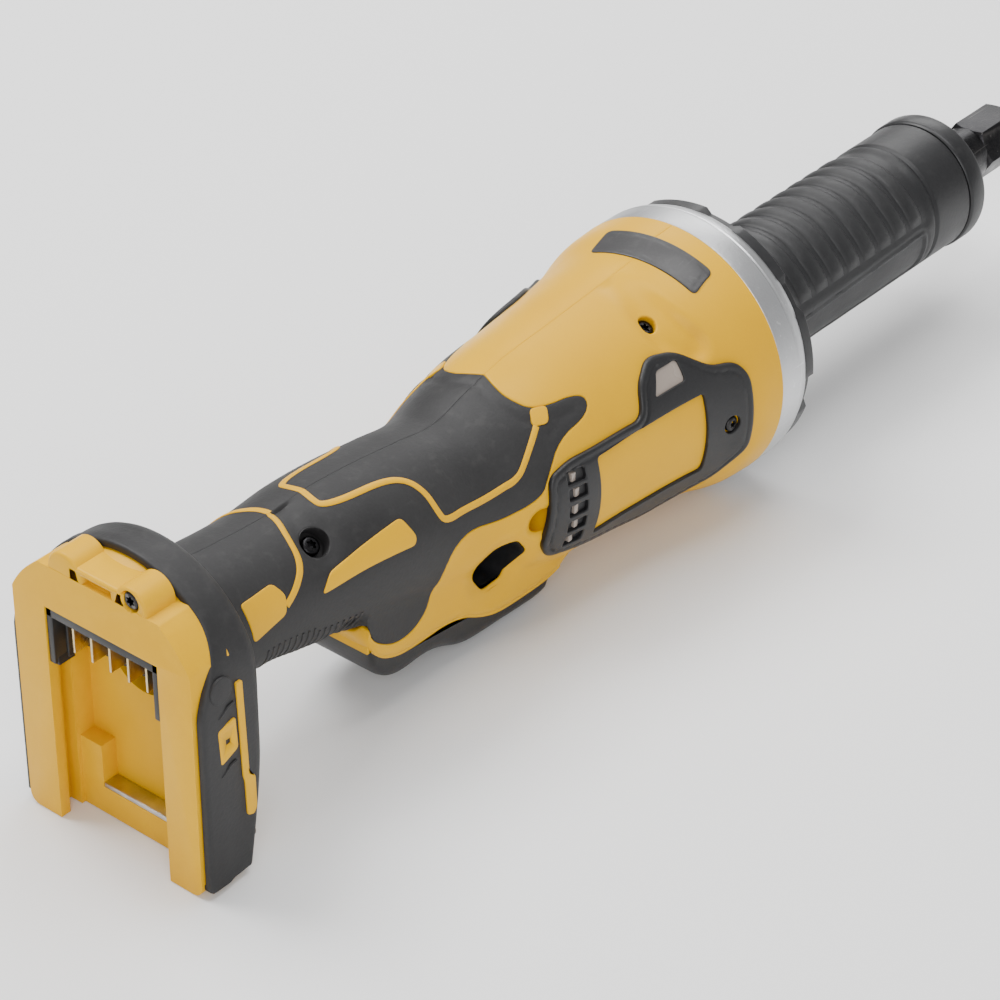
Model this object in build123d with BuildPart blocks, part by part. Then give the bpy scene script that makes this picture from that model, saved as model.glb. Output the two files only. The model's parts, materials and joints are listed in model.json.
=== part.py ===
"""Cordless paddle-switch die grinder, made as the separate pieces it comes apart into.

Frame, in millimetres: the origin is the mouth of the collet on the spindle axis, +X points out
of the collet, +Y to the tool's left and +Z up. The battery foot is at the far -X end.
"""
from build123d import *
from collections import namedtuple
from math import radians, tan
import os

os.makedirs("parts", exist_ok=True)

# ---------------------------------------------------------------- lengths along the tool
spindle_reach = 45.0
nose_length = 130.0
flange_thickness = 3.0
ring_width = 15.0
motor_length = 102.0
switch_length = 62.0
grip_length = 62.0
foot_depth = 26.0

nose_front = -spindle_reach
nose_rear = nose_front - nose_length
ring_front = nose_rear - flange_thickness
ring_rear = ring_front - ring_width
motor_rear = ring_rear - motor_length
switch_rear = motor_rear - switch_length
foot_front = switch_rear - grip_length
rear_face = foot_front - foot_depth

# ---------------------------------------------------------------- walls, fits and clearances
wall = 2.4
rubber_thickness = 1.8
running_clearance = 0.05
loose_clearance = 0.3
paddle_clearance = 0.8
panel_height = 1.6
plate_height = 0.6
far = 200.0

# ---------------------------------------------------------------- radii of the round parts
nose_radius = 22.9
sleeve_thickness = 2.7
ring_radius = 45.3
flange_radius = 43.4
grip_radius = 21.5
waist_radius = 26.5
barrel_radius = 37.5

# where a section of the body is, how far its centre lies above the spindle, and its half sizes
Section = namedtuple("Section", "place rise half_height half_width")
sections = [
    Section(foot_front - 2, 13.5, grip_radius + 4.0, grip_radius + 4.0),
    Section(foot_front + 9, 13.8, grip_radius + 0.5, grip_radius + 0.5),
    Section(foot_front + 21, 13.6, grip_radius - 0.7, grip_radius - 0.6),
    Section(foot_front + 37, 11.5, grip_radius + 0.2, grip_radius + 0.2),
    Section(switch_rear - 5, 9.8, grip_radius + 2.5, grip_radius + 2.2),
    Section(switch_rear + 14, 7.4, grip_radius + 3.5, grip_radius + 3.5),
    Section(motor_rear - 30, 4.2, waist_radius - 0.6, waist_radius - 0.8),
    Section(motor_rear - 11, 1.2, waist_radius + 0.5, waist_radius),
    Section(motor_rear + 1, 0.2, waist_radius + 4.9, waist_radius + 3.0),
    Section(motor_rear + 16, 0.0, barrel_radius - 2.2, barrel_radius - 4.6),
    Section(motor_rear + 40, 0.0, barrel_radius + 0.2, barrel_radius - 2.4),
    Section(motor_rear + 66, 0.0, barrel_radius + 2.6, barrel_radius + 0.8),
    Section(ring_rear - 22, 0.0, barrel_radius + 4.2, barrel_radius + 3.7),
    Section(ring_rear - 11, 0.0, ring_radius - 0.8, ring_radius - 0.9),
    Section(ring_rear, 0.0, ring_radius, ring_radius),
]
neck = sections[0]

# a screw: its head, its socket, and its shank to the tip
Screw = namedtuple("Screw", "head_radius head_height socket_radius shank_radius length")
housing_screw = Screw(3.5, 3.0, 1.6, 1.5, 20.0)
frame_screw = Screw(2.9, 2.4, 1.4, 1.3, 13.0)
cover_screw = Screw(2.6, 1.4, 1.2, 1.1, 5.0)
flange_screw = Screw(3.0, 2.2, 1.5, 1.6, 11.0)


def cross_plane(place, rise=0.0):
    """A sketch plane square to the spindle, facing forwards: its x is +Y and its y is +Z."""
    return Plane(origin=(place, 0, rise), x_dir=(0, 1, 0), z_dir=(1, 0, 0))


def rearward_plane(place, rise=0.0):
    """A sketch plane square to the spindle, facing backwards: its x is -Y and its y is +Z."""
    return Plane(origin=(place, 0, rise), x_dir=(0, -1, 0), z_dir=(-1, 0, 0))


def side_plane(offset=0.0):
    """A sketch plane along the tool, facing the right side: its x is +X and its y is +Z."""
    return Plane(origin=(0, offset, 0), x_dir=(1, 0, 0), z_dir=(0, -1, 0))


def body_form(inset):
    """The solid body of the housing, drawn in by an inset all round."""
    with BuildPart() as form:
        for section in sections:
            with BuildSketch(cross_plane(section.place, section.rise)):
                Ellipse(section.half_width - inset, section.half_height - inset)
        loft()
    return form.part


def turned(*outline):
    """A solid of revolution about the spindle from (place, radius) points."""
    with BuildPart() as shape:
        with BuildSketch(Plane.XZ):
            with BuildLine():
                Polyline(*outline, close=True)
            make_face()
        revolve(axis=Axis.X)
    return shape.part


def side_prism(outline, half_width, corner=0.0):
    """A block with this side-view outline, reaching half_width to both sides."""
    with BuildPart() as block:
        with BuildSketch(side_plane()) as profile:
            with BuildLine():
                Polyline(*outline, close=True)
            make_face()
            if corner:
                fillet(profile.vertices(), corner)
        extrude(amount=half_width, both=True)
    return block.part


def cross_block(start, end, half_width, low, high, rise=0.0):
    """A rectangular block between two places along the tool and two heights."""
    with BuildPart() as block:
        with BuildSketch(cross_plane(start, rise)):
            with Locations((0, (low + high) / 2)):
                Rectangle(2 * half_width, high - low)
        extrude(amount=end - start)
    return block.part


def slice_of(form, start, end):
    """The part of a form between two places along the tool."""
    with BuildPart() as cut:
        add(form)
        add(cross_block(start, end, far, -far, far), mode=Mode.INTERSECT)
    return cut.part


def screw_group(screw, plane, spots):
    """Identical screws with their head tops in a plane, driven along its normal."""
    with BuildPart() as group:
        with BuildSketch(plane):
            with Locations(*spots):
                Circle(screw.head_radius)
        extrude(amount=screw.head_height)
        with BuildSketch(plane):
            with Locations(*spots):
                Circle(screw.shank_radius)
        extrude(amount=screw.length)
        with BuildSketch(plane):
            with Locations(*spots):
                RegularPolygon(screw.socket_radius, 6)
        extrude(amount=0.6 * screw.head_height, mode=Mode.SUBTRACT)
    return group.part


def screw_holes(screw, plane, spots, sink):
    """What a group of screws cuts from the pieces it clamps, with a counterbore behind the heads."""
    with BuildPart() as holes:
        with BuildSketch(plane):
            with Locations(*spots):
                Circle(screw.head_radius)
        extrude(amount=screw.head_height)
        if sink:
            with BuildSketch(plane):
                with Locations(*spots):
                    Circle(screw.head_radius + loose_clearance)
            extrude(amount=-sink)
        with BuildSketch(plane):
            with Locations(*spots):
                Circle(screw.shank_radius)
        extrude(amount=screw.length)
    return holes.part


def tube_along(radius, *points):
    """A straight-sided tube through points with its corners rounded as far as they allow."""
    with BuildPart() as tube:
        with BuildLine() as path:
            if len(points) > 2:
                FilletPolyline(*points, radius=6 * radius)
            else:
                Line(*points)
        with BuildSketch(path.line ^ 0):
            Circle(radius)
        sweep()
    return tube.part


def write(part, label):
    """Label a finished piece and write its file."""
    part.label = label
    export_step(part, f"parts/{label}.step")


outer_form = body_form(0)
core_form = body_form(rubber_thickness)
cavity_form = body_form(rubber_thickness + wall)
panel_form = body_form(-panel_height)
plate_form = body_form(-plate_height)

# ================================================================ battery foot
frame_half_width = 33.8
foot_rubber_thickness = 2.7
foot_half_width = frame_half_width + foot_rubber_thickness
foot_shoulder = 26.0
foot_top = 51.0
toe_bottom = -46.0
toe_corner = 3.5
frame_top = 43.0
frame_depth = 15.0
frame_corner = 6.0
hump_half_width = 17.0
hump_top = 49.5
hump_depth = 11.0
mouth_half_width = 21.5
mouth_top = 28.0
mouth_depth = 9.5
deep_bottom = -22.0
ledge_height = 14.5
strike_half_width = 13.2
strike_thickness = 1.6
rail_inset = 3.5
rail_gap = 4.6
rail_width = 4.6
rail_top = 18.0
core_bore = 13.0
spigot_length = 7.0
frame_front = rear_face + frame_depth
core_front = foot_front - 2
frame_sink = 2.5


def arched_block(start, end, half_width, shoulder, top, bottom):
    """A slice of the foot with straight sides and an arched top."""
    with BuildPart() as block:
        with BuildSketch(cross_plane(start)) as outline:
            with BuildLine():
                Polyline((half_width, shoulder), (half_width, bottom))
                Line((half_width, bottom), (-half_width, bottom))
                Line((-half_width, bottom), (-half_width, shoulder))
                ThreePointArc((-half_width, shoulder), (0, top), (half_width, shoulder))
            make_face()
            fillet(outline.vertices().sort_by(Axis.Y)[:2], toe_corner)
        extrude(amount=end - start)
    return block.part


hump_screw_spot = [(-hump_half_width + 4.5, hump_top - 4.5)]
toe_screw_side = frame_half_width - 4.0
toe_screw_height = toe_bottom + 9.0
toe_screw_spots = [(-toe_screw_side, toe_screw_height), (toe_screw_side, toe_screw_height)]
hump_screw_plane = cross_plane(rear_face + frame_sink)
toe_screw_plane = rearward_plane(core_front - 0.5)
hump_screw_holes = screw_holes(frame_screw, hump_screw_plane, hump_screw_spot, far)
toe_screw_holes = screw_holes(frame_screw, toe_screw_plane, toe_screw_spots, far)

with BuildPart() as frame_blank:
    with BuildSketch(cross_plane(rear_face)) as frame_outline:
        with Locations((0, (frame_top + toe_bottom) / 2)):
            Rectangle(2 * frame_half_width, frame_top - toe_bottom)
        fillet(frame_outline.vertices().group_by(Axis.Y)[-1], frame_corner)
        fillet(frame_outline.vertices().group_by(Axis.Y)[0], toe_corner)
    extrude(amount=frame_depth)
    add(
        arched_block(rear_face, frame_front, foot_half_width - 1, foot_shoulder, foot_top - 1, toe_bottom),
        mode=Mode.INTERSECT,
    )
    with BuildSketch(cross_plane(rear_face)) as hump_outline:
        with Locations((0, hump_top / 2)):
            Rectangle(2 * hump_half_width, hump_top)
        fillet(hump_outline.vertices().group_by(Axis.Y)[-1], frame_corner)
    extrude(amount=hump_depth)

core_blank = arched_block(
    frame_front, core_front, frame_half_width, foot_shoulder - 2, foot_top - 1.5, toe_bottom
)
mouth = cross_block(rear_face, rear_face + mouth_depth, mouth_half_width, toe_bottom, mouth_top)
deep_mouth = cross_block(rear_face, frame_front, mouth_half_width, deep_bottom, mouth_top)
rail_start = rear_face + rail_inset
rail_slot = cross_block(
    rail_start, rail_start + rail_gap, mouth_half_width + rail_width, toe_bottom, rail_top
)
strike_pocket = cross_block(
    rear_face, frame_front, strike_half_width, deep_bottom - ledge_height, deep_bottom
)

with BuildPart() as battery_frame:
    add(frame_blank.part)
    for hollow in (mouth, deep_mouth, rail_slot, strike_pocket, hump_screw_holes, toe_screw_holes):
        add(hollow, mode=Mode.SUBTRACT)

strike_bottom = deep_bottom - ledge_height
with BuildPart() as strike_plate:
    add(
        cross_block(
            rear_face + mouth_depth,
            frame_front,
            strike_half_width,
            strike_bottom,
            strike_bottom + strike_thickness,
        )
    )

with BuildPart() as foot_core:
    add(core_blank)
    add(slice_of(cavity_form, core_front, core_front + spigot_length))
    with BuildSketch(cross_plane(frame_front, neck.rise)):
        Circle(core_bore)
    extrude(amount=far, mode=Mode.SUBTRACT)
    add(hump_screw_holes, mode=Mode.SUBTRACT)
    add(toe_screw_holes, mode=Mode.SUBTRACT)

with BuildPart() as frame_screws:
    add(screw_group(frame_screw, hump_screw_plane, hump_screw_spot))
    add(screw_group(frame_screw, toe_screw_plane, toe_screw_spots))

with BuildPart() as foot_rubber:
    add(arched_block(rear_face + 3, foot_front, foot_half_width, foot_shoulder, foot_top, toe_bottom + 8))
    fillet(foot_rubber.edges().group_by(Axis.X)[-1], foot_rubber_thickness - 1)
    add(frame_blank.part, mode=Mode.SUBTRACT)
    add(core_blank, mode=Mode.SUBTRACT)
    for hollow in (outer_form, hump_screw_holes, toe_screw_holes):
        add(hollow, mode=Mode.SUBTRACT)

# ---------------------------------------------------------------- terminals in the battery foot
terminal_frame_depth = 10.0
terminal_frame_width = 3.0
terminal_side_drop = 19.0
blade_thickness = 0.8
blade_spacing = 7.0
blade_count = 5
blade_length = 9.0
blade_height = 9.0
terminal_back = 3.0
terminal_back_face = frame_front - terminal_back

with BuildPart() as terminal_block:
    with BuildSketch(cross_plane(frame_front - terminal_frame_depth)) as terminal_frame:
        with Locations((0, mouth_top - terminal_side_drop / 2)):
            Rectangle(2 * mouth_half_width, terminal_side_drop)
        with Locations((0, mouth_top - terminal_frame_width - terminal_side_drop / 2)):
            Rectangle(2 * (mouth_half_width - terminal_frame_width), terminal_side_drop, mode=Mode.SUBTRACT)
    extrude(amount=terminal_frame_depth)
    add(
        cross_block(
            terminal_back_face, frame_front, mouth_half_width, mouth_top - terminal_side_drop, mouth_top
        )
    )

with BuildPart() as terminal_blades:
    with BuildSketch(cross_plane(terminal_back_face - blade_length)):
        with Locations((0, mouth_top - terminal_side_drop / 2)):
            with GridLocations(blade_spacing, 1, blade_count, 1):
                Rectangle(blade_thickness, blade_height)
    extrude(amount=blade_length)

# ================================================================ housing shells
rubber_outline = [
    (foot_front - 2, -far / 2),
    (foot_front - 2, far / 2),
    (motor_rear + 13, far / 2),
    (motor_rear + 7, 34),
    (motor_rear + 12, 30.5),
    (motor_rear + 30, 30),
    (motor_rear + 27, 24),
    (motor_rear + 13, 21),
    (motor_rear + 5, 12),
    (motor_rear + 2, 5.8),
    (motor_rear - 13, 5.5),
    (motor_rear - 26, 9),
    (switch_rear + 25, 4),
    (switch_rear + 23, -14),
    (switch_rear + 17, -19),
    (switch_rear + 9, -19.5),
    (switch_rear - 4, -10),
    (switch_rear - 12, -4),
    (switch_rear - 12, -far / 2),
]
rubber_block = side_prism(rubber_outline, far / 2)

# the skirt under the body, and the bay that it leaves round the paddle
skirt_half_width = 21.0
bay_half_width = skirt_half_width - wall
paddle_half_width = bay_half_width - paddle_clearance
skirt_rear = switch_rear - 4
skirt_front = motor_rear + 22
skirt_low = -36.0
bay_rear = skirt_rear + wall
bay_front = skirt_front + 1.5
bay_ceiling = skirt_low + 11.5
skirt_outline = [
    (skirt_rear, 0),
    (skirt_rear, -9),
    (skirt_rear + 5, -17),
    (skirt_rear + 16, -24.5),
    (motor_rear - 26, -25.5),
    (motor_rear - 12, skirt_low + 1.5),
    (motor_rear, skirt_low),
    (skirt_front, skirt_low),
    (skirt_front + 14, -24),
    (skirt_front + 14, 0),
]
bay_outline = [
    (bay_rear, -far / 2),
    (bay_rear, -9),
    (motor_rear - 24, -16),
    (motor_rear - 17, bay_ceiling),
    (bay_front, bay_ceiling),
    (bay_front, -far / 2),
]
ceiling_outline = [
    (motor_rear - 24, -16),
    (motor_rear - 17, bay_ceiling),
    (bay_front, bay_ceiling),
    (bay_front, skirt_low),
    (bay_front + wall, skirt_low),
    (bay_front + wall, bay_ceiling + wall),
    (motor_rear - 16, bay_ceiling + wall),
    (motor_rear - 23, -16 + wall),
]
skirt_block = side_prism(skirt_outline, skirt_half_width, 1.0)
bay_block = side_prism(bay_outline, bay_half_width)
ceiling_block = side_prism(ceiling_outline, bay_half_width + wall)

# the pin that the paddle turns on, held in blind holes in both sides of the bay
pivot_place = motor_rear + 16
pivot_height = -31.0
pin_radius = 1.75
pin_bite = 1.6
with BuildPart() as paddle_pin:
    with BuildSketch(side_plane()):
        with Locations((pivot_place, pivot_height)):
            Circle(pin_radius)
    extrude(amount=bay_half_width + pin_bite, both=True)

# the lanyard eye: a long hexagonal hole from side to side
eye_place = motor_rear - 9
eye_height = -15.0
eye_length = 17.0
eye_width = 12.0


def eye_outline(grow):
    """The six corners of the lanyard eye, grown by a wall."""
    half_length = eye_length / 2 + grow
    half_width = eye_width / 2 + grow
    flat = half_length - half_width * tan(radians(30))
    return [
        (eye_place - half_length, eye_height),
        (eye_place - flat, eye_height + half_width),
        (eye_place + flat, eye_height + half_width),
        (eye_place + half_length, eye_height),
        (eye_place + flat, eye_height - half_width),
        (eye_place - flat, eye_height - half_width),
    ]


eye_hole = side_prism(eye_outline(0), far / 2)
eye_sleeve = side_prism(eye_outline(wall - 0.6), far / 2)

# ---------------------------------------------------------------- places of the inner parts
shaft_radius = 5.0
rear_journal_radius = 4.0
spindle_journal_radius = 6.0
rear_bearing_radius = 11.0
rear_bearing_width = 7.0
front_bearing_radius = 13.0
front_bearing_width = 8.0
spindle_bearing_radius = 14.0
spindle_bearing_width = 8.0
stator_radius = 29.0
stator_length = 32.0
coil_overhang = 4.0
bracket_rear = motor_rear + 26
bracket_plate = 3.5
bracket_depth = 10.0
stator_rear = motor_rear + 50
stator_front = stator_rear + stator_length
board_rear = stator_rear - 9
board_thickness = 1.6
baffle_rear = stator_front + coil_overhang + 1.0
baffle_thickness = 1.5
fan_rear = baffle_rear + baffle_thickness + 1.0
fan_length = 11.0
lead_radius = 1.2
lead_spacing = 2.6
lead_rise = 21.5

module_rear = foot_front + 18
module_length = 36.0
module_half_width = 10.5
module_half_height = 9.5
module_height = 10.5
tray_wall = 1.5
switch_box_rear = switch_rear + 9
switch_box_length = 30.0
switch_half_width = 8.0
switch_low = -10.0
switch_high = 8.0
rib = 2.0

# ---------------------------------------------------------------- holes and ribs of the shells
housing_screw_spots = [
    (foot_front + 45, 27.0),
    (foot_front + 52, -5.0),
    (motor_rear + 3, -2.0),
    (ring_rear - 36, barrel_radius - 3.3),
    (ring_rear - 36, 3.3 - barrel_radius),
]
boss_radius = 4.6
screw_seat = -10.0
head_top = screw_seat - housing_screw.head_height
housing_screw_plane = Plane(origin=(0, head_top, 0), x_dir=(-1, 0, 0), z_dir=(0, 1, 0))
mirrored_spots = [(-place, height) for place, height in housing_screw_spots]
housing_screw_holes = screw_holes(housing_screw, housing_screw_plane, mirrored_spots, far)
housing_screws = screw_group(housing_screw, housing_screw_plane, mirrored_spots)

with BuildPart() as bosses:
    with BuildSketch(side_plane()):
        with Locations(*housing_screw_spots):
            Circle(boss_radius)
    extrude(amount=far / 2, both=True)
    add(outer_form, mode=Mode.INTERSECT)

module_front = module_rear + module_length
module_space = cross_block(
    module_rear, module_front, module_half_width, -module_half_height, module_half_height, module_height
)
switch_space = cross_block(
    switch_box_rear, switch_box_rear + switch_box_length, switch_half_width, switch_low, switch_high
)
lead_space = cross_block(switch_box_rear, stator_rear, 5.5, 11.0, far)
with BuildPart() as stator_space:
    with BuildSketch(cross_plane(bracket_rear)):
        Circle(stator_radius)
    extrude(amount=ring_rear - bracket_rear)

with BuildPart() as ribs:
    for place in (module_rear + 6, module_front - 6):
        add(slice_of(cavity_form, place, place + rib))
    for place in (switch_box_rear + 3, switch_box_rear + switch_box_length - 5):
        add(slice_of(cavity_form, place, place + rib))
    for place in (stator_rear + 5, stator_front - 7):
        add(slice_of(cavity_form, place, place + rib))
    for space in (module_space, switch_space, lead_space, stator_space.part):
        add(space, mode=Mode.SUBTRACT)

# ---------------------------------------------------------------- side covers and name plate
cover_outline = [
    (motor_rear + 3, -10),
    (motor_rear + 6, 11),
    (motor_rear + 14, 15),
    (motor_rear + 46, 15.5),
    (motor_rear + 50, 25),
    (motor_rear + 56, 29),
    (motor_rear + 66, 28),
    (motor_rear + 75, 20),
    (ring_rear - 18, 18.5),
    (ring_rear - 14, 14),
    (ring_rear - 14, -12),
    (ring_rear - 24, -21),
    (motor_rear + 52, -25),
    (motor_rear + 16, -19),
    (motor_rear + 8, -17),
]
label_outline = [
    (motor_rear + 24, -15),
    (motor_rear + 70, -13),
    (motor_rear + 70, 14),
    (motor_rear + 24, 12.5),
]
window_outline = [
    (motor_rear + 53, 19),
    (motor_rear + 65, 19.5),
    (motor_rear + 65, 25),
    (motor_rear + 56, 24.5),
]
vent_count = 5
vent_spacing = 5.6
vent_place = motor_rear + 15
vent_length = 6.0
vent_height = 2.6
cover_screw_place = ring_rear - 22
cover_screw_bore = 4.2

cover_block = side_prism(cover_outline, far / 2, 1.5)
label_block = side_prism(label_outline, far / 2, 1.0)
window_block = side_prism(window_outline, far / 2, 0.8)
with BuildPart() as vent_slots:
    with BuildSketch(side_plane()):
        with Locations((vent_place, -1)):
            with GridLocations(1, vent_spacing, 1, vent_count):
                SlotOverall(vent_length, vent_height)
    extrude(amount=far / 2, both=True)
vent_half_height = vent_count * vent_spacing / 2
with BuildPart() as vent_block:
    with BuildSketch(side_plane()):
        with Locations((vent_place, -1)):
            Rectangle(vent_length + 1, 2 * vent_half_height - 2)
    extrude(amount=far / 2, both=True)
cover_surface = barrel_radius + 3.7
cover_screw_plane = Plane(origin=(0, -cover_surface - 1.0, 0), x_dir=(-1, 0, 0), z_dir=(0, 1, 0))
cover_screw_spots = [(-cover_screw_place, 0.0)]
cover_holes = screw_holes(cover_screw, cover_screw_plane, cover_screw_spots, far)
cover_screw_group = screw_group(cover_screw, cover_screw_plane, cover_screw_spots)


def keep_side(part, keep):
    """The right (Keep.TOP) or left (Keep.BOTTOM) half of a part, cut along the joint plane."""
    with BuildPart() as half:
        add(part)
        split(bisect_by=Plane.XZ, keep=keep)
    return half.part


with BuildPart() as cover_pair:
    add(panel_form)
    add(cover_block, mode=Mode.INTERSECT)
    for hollow in (outer_form, label_block, window_block, vent_slots.part):
        add(hollow, mode=Mode.SUBTRACT)
    add(cover_holes, mode=Mode.SUBTRACT)
    add(mirror(cover_holes, Plane.XZ), mode=Mode.SUBTRACT)

with BuildPart() as label_pair:
    add(plate_form)
    add(label_block, mode=Mode.INTERSECT)
    add(outer_form, mode=Mode.SUBTRACT)

with BuildPart() as window_pair:
    add(plate_form)
    add(window_block, mode=Mode.INTERSECT)
    add(outer_form, mode=Mode.SUBTRACT)

with BuildPart() as screen_pair:
    add(outer_form)
    add(vent_block.part, mode=Mode.INTERSECT)
    add(core_form, mode=Mode.SUBTRACT)

with BuildPart() as name_plate:
    with BuildSketch(Plane.XY):
        with BuildLine():
            Polyline(
                (ring_rear - 21, 15),
                (ring_rear - 10, 16),
                (ring_rear - 7, -21),
                (ring_rear - 17.5, -21),
                close=True,
            )
        make_face()
    extrude(amount=far)
    add(plate_form, mode=Mode.INTERSECT)
    add(outer_form, mode=Mode.SUBTRACT)

# ---------------------------------------------------------------- rubber and shells
with BuildPart() as grip_rubber:
    add(outer_form)
    add(rubber_block, mode=Mode.INTERSECT)
    add(core_form, mode=Mode.SUBTRACT)
    add(housing_screw_holes, mode=Mode.SUBTRACT)
    add(bay_block, mode=Mode.SUBTRACT)

envelope = outer_form + skirt_block
with BuildPart() as housing:
    add(envelope)
    add(cavity_form, mode=Mode.SUBTRACT)
    add(ribs.part)
    add(envelope & ceiling_block)
    add(bosses.part)
    add(bay_block, mode=Mode.SUBTRACT)
    add(envelope & eye_sleeve)
    for hollow in (eye_hole, paddle_pin.part, housing_screw_holes, grip_rubber.part):
        add(hollow, mode=Mode.SUBTRACT)
    add(vent_block.part, mode=Mode.SUBTRACT)
    add(cover_holes, mode=Mode.SUBTRACT)
    add(mirror(cover_holes, Plane.XZ), mode=Mode.SUBTRACT)

# ================================================================ paddle and lock-off lever
paddle_hub_radius = 4.2
paddle_wall = 2.2
paddle_low = -43.5
plunger_place = switch_rear + 24
plunger_radius = 3.0
plunger_travel = 5.0
plunger_end = -21.0
paddle_bottom = [
    (switch_rear + 0.5, -20),
    (switch_rear + 3, -29),
    (switch_rear + 9, -35),
    (switch_rear + 15, -36.8),
    (switch_rear + 26, -36.0),
    (switch_rear + 34, -38.0),
    (switch_rear + 42, paddle_low + 1.5),
    (switch_rear + 50, paddle_low + 0.4),
    (pivot_place - 6, paddle_low),
    (pivot_place, paddle_low + 0.2),
    (pivot_place + 5, paddle_low + 2),
]
paddle_top = [
    (pivot_place + 6, -35),
    (motor_rear - 6, -31.5),
    (motor_rear - 16, -29),
    (motor_rear - 28, -21.5),
    (switch_rear + 16, -19.8),
    (switch_rear + 6, -17.8),
    (switch_rear + 0.5, -17.2),
]
paddle_block = side_prism(paddle_bottom + paddle_top, paddle_half_width)
with BuildPart() as paddle_hollow:
    with BuildSketch(side_plane()):
        with BuildLine():
            Polyline(*(paddle_bottom + [(pivot_place + 5, far), (switch_rear + 0.5, far)]), close=True)
        make_face()
        offset(amount=-paddle_wall, kind=Kind.INTERSECTION)
    extrude(amount=paddle_half_width - paddle_wall, both=True)
with BuildPart() as paddle_hub:
    with BuildSketch(side_plane()):
        with Locations((pivot_place, pivot_height)):
            Circle(paddle_hub_radius)
    extrude(amount=paddle_half_width, both=True)

lever_place = switch_rear + 34
lever_height = -32.0
lever_pin_radius = 1.25
lever_hub_radius = 3.0
lever_half_width = 4.8
lever_cheek = 2.0
lever_pin_half_length = lever_half_width + loose_clearance + lever_cheek
lever_tail = switch_rear + 17
lever_slot = side_prism(
    [
        (lever_tail - 3, -28),
        (lever_tail - 3, -60),
        (lever_place + 3, -60),
        (lever_place + 4.5, -28),
    ],
    lever_half_width + loose_clearance,
)
with BuildPart() as lever_cheeks:
    for side in (-1, 1):
        with BuildSketch(side_plane(side * (lever_pin_half_length - lever_cheek / 2))):
            with Locations((lever_place, lever_height)):
                Circle(lever_hub_radius + 1.2)
            with Locations((lever_place, lever_height - 4)):
                Rectangle(8, 8)
        extrude(amount=lever_cheek / 2, both=True)

rib_half_width = 5.0
rib_thickness = 3.0
with BuildPart() as paddle:
    add(paddle_block)
    add(paddle_hollow.part, mode=Mode.SUBTRACT)
    add(paddle_hub.part)
    add(lever_cheeks.part & side_prism(paddle_bottom + [(pivot_place, far), (switch_rear, far)], far / 2))
    add(
        cross_block(
            plunger_place - rib_thickness / 2,
            plunger_place + rib_thickness / 2,
            paddle_half_width - paddle_wall,
            paddle_low + 9,
            plunger_end - loose_clearance,
        )
    )
    add(lever_slot, mode=Mode.SUBTRACT)
    with BuildSketch(side_plane()):
        with Locations((pivot_place, pivot_height)):
            Circle(pin_radius + running_clearance)
    extrude(amount=far, both=True, mode=Mode.SUBTRACT)
    with BuildSketch(side_plane()):
        with Locations((lever_place, lever_height)):
            Circle(lever_pin_radius)
    extrude(amount=lever_pin_half_length, both=True, mode=Mode.SUBTRACT)

with BuildPart() as lock_off_lever:
    with BuildSketch(side_plane()):
        with BuildLine():
            Polyline(
                (lever_place + 2.8, lever_height),
                (lever_place + 2.2, lever_height - 6),
                (lever_tail + 1, lever_height - 10.5),
                (lever_tail, lever_height - 8),
                (lever_place - 5, lever_height - 2.5),
                (lever_place - 2.8, lever_height),
                close=True,
            )
        make_face()
        with Locations((lever_place, lever_height)):
            Circle(lever_hub_radius)
            Circle(lever_pin_radius + running_clearance, mode=Mode.SUBTRACT)
    extrude(amount=lever_half_width, both=True)

lever_spring_wire = 0.4
lever_spring_radius = 2.0
lever_spring_turns = 4
lever_spring_length = 4.0
lever_spring_start = lever_pin_half_length + 2 * lever_spring_wire
with BuildPart() as lock_off_pin:
    with BuildSketch(side_plane(lever_pin_half_length)):
        with Locations((lever_place, lever_height)):
            Circle(lever_pin_radius)
    extrude(amount=2 * lever_pin_half_length)
    with BuildSketch(side_plane(lever_pin_half_length)):
        with Locations((lever_place, lever_height)):
            Circle(lever_pin_radius)
    extrude(amount=-lever_spring_length - 3 * lever_spring_wire)


def coil_spring(centre, axis, wire_radius, coil_radius, turns, length):
    """A coil of round wire whose ends stop where the coil does."""
    with BuildPart() as spring:
        with BuildLine() as path:
            Helix(length / turns, length, coil_radius, center=centre, direction=axis)
        with BuildSketch(Plane(origin=path.line @ 0, z_dir=path.line % 0)):
            Circle(wire_radius)
        sweep(is_frenet=True)
    return spring.part


spring_place = motor_rear - 5
spring_wire = 0.5
spring_turns = 5
spring_low = paddle_low + paddle_wall + spring_wire + 0.4
spring_radius = 4.0
spring_high = bay_ceiling - spring_wire - 0.1
paddle_spring = coil_spring(
    (spring_place, 0, spring_low),
    (0, 0, 1),
    spring_wire,
    spring_radius,
    spring_turns,
    spring_high - spring_low,
)
lever_spring = coil_spring(
    (lever_place, lever_spring_start, lever_height),
    (0, 1, 0),
    lever_spring_wire,
    lever_spring_radius,
    lever_spring_turns,
    lever_spring_length,
)

# ================================================================ trigger switch and electronics
plunger_bore_depth = 12.0
with BuildPart() as switch_body:
    add(switch_space)
    with BuildSketch(Plane.XY.offset(switch_low)):
        with Locations((plunger_place, 0)):
            Circle(plunger_radius + running_clearance)
    extrude(amount=plunger_bore_depth, mode=Mode.SUBTRACT)
    fillet(switch_body.edges().filter_by(Axis.X).group_by(Axis.Z)[-1], 1.0)

with BuildPart() as switch_plunger:
    with BuildSketch(Plane.XY.offset(plunger_end)):
        with Locations((plunger_place, 0)):
            Circle(plunger_radius)
    extrude(amount=switch_low - plunger_end + plunger_bore_depth - plunger_travel - 1)
    fillet(switch_plunger.edges().group_by(Axis.Z)[0], 1.2)

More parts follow.
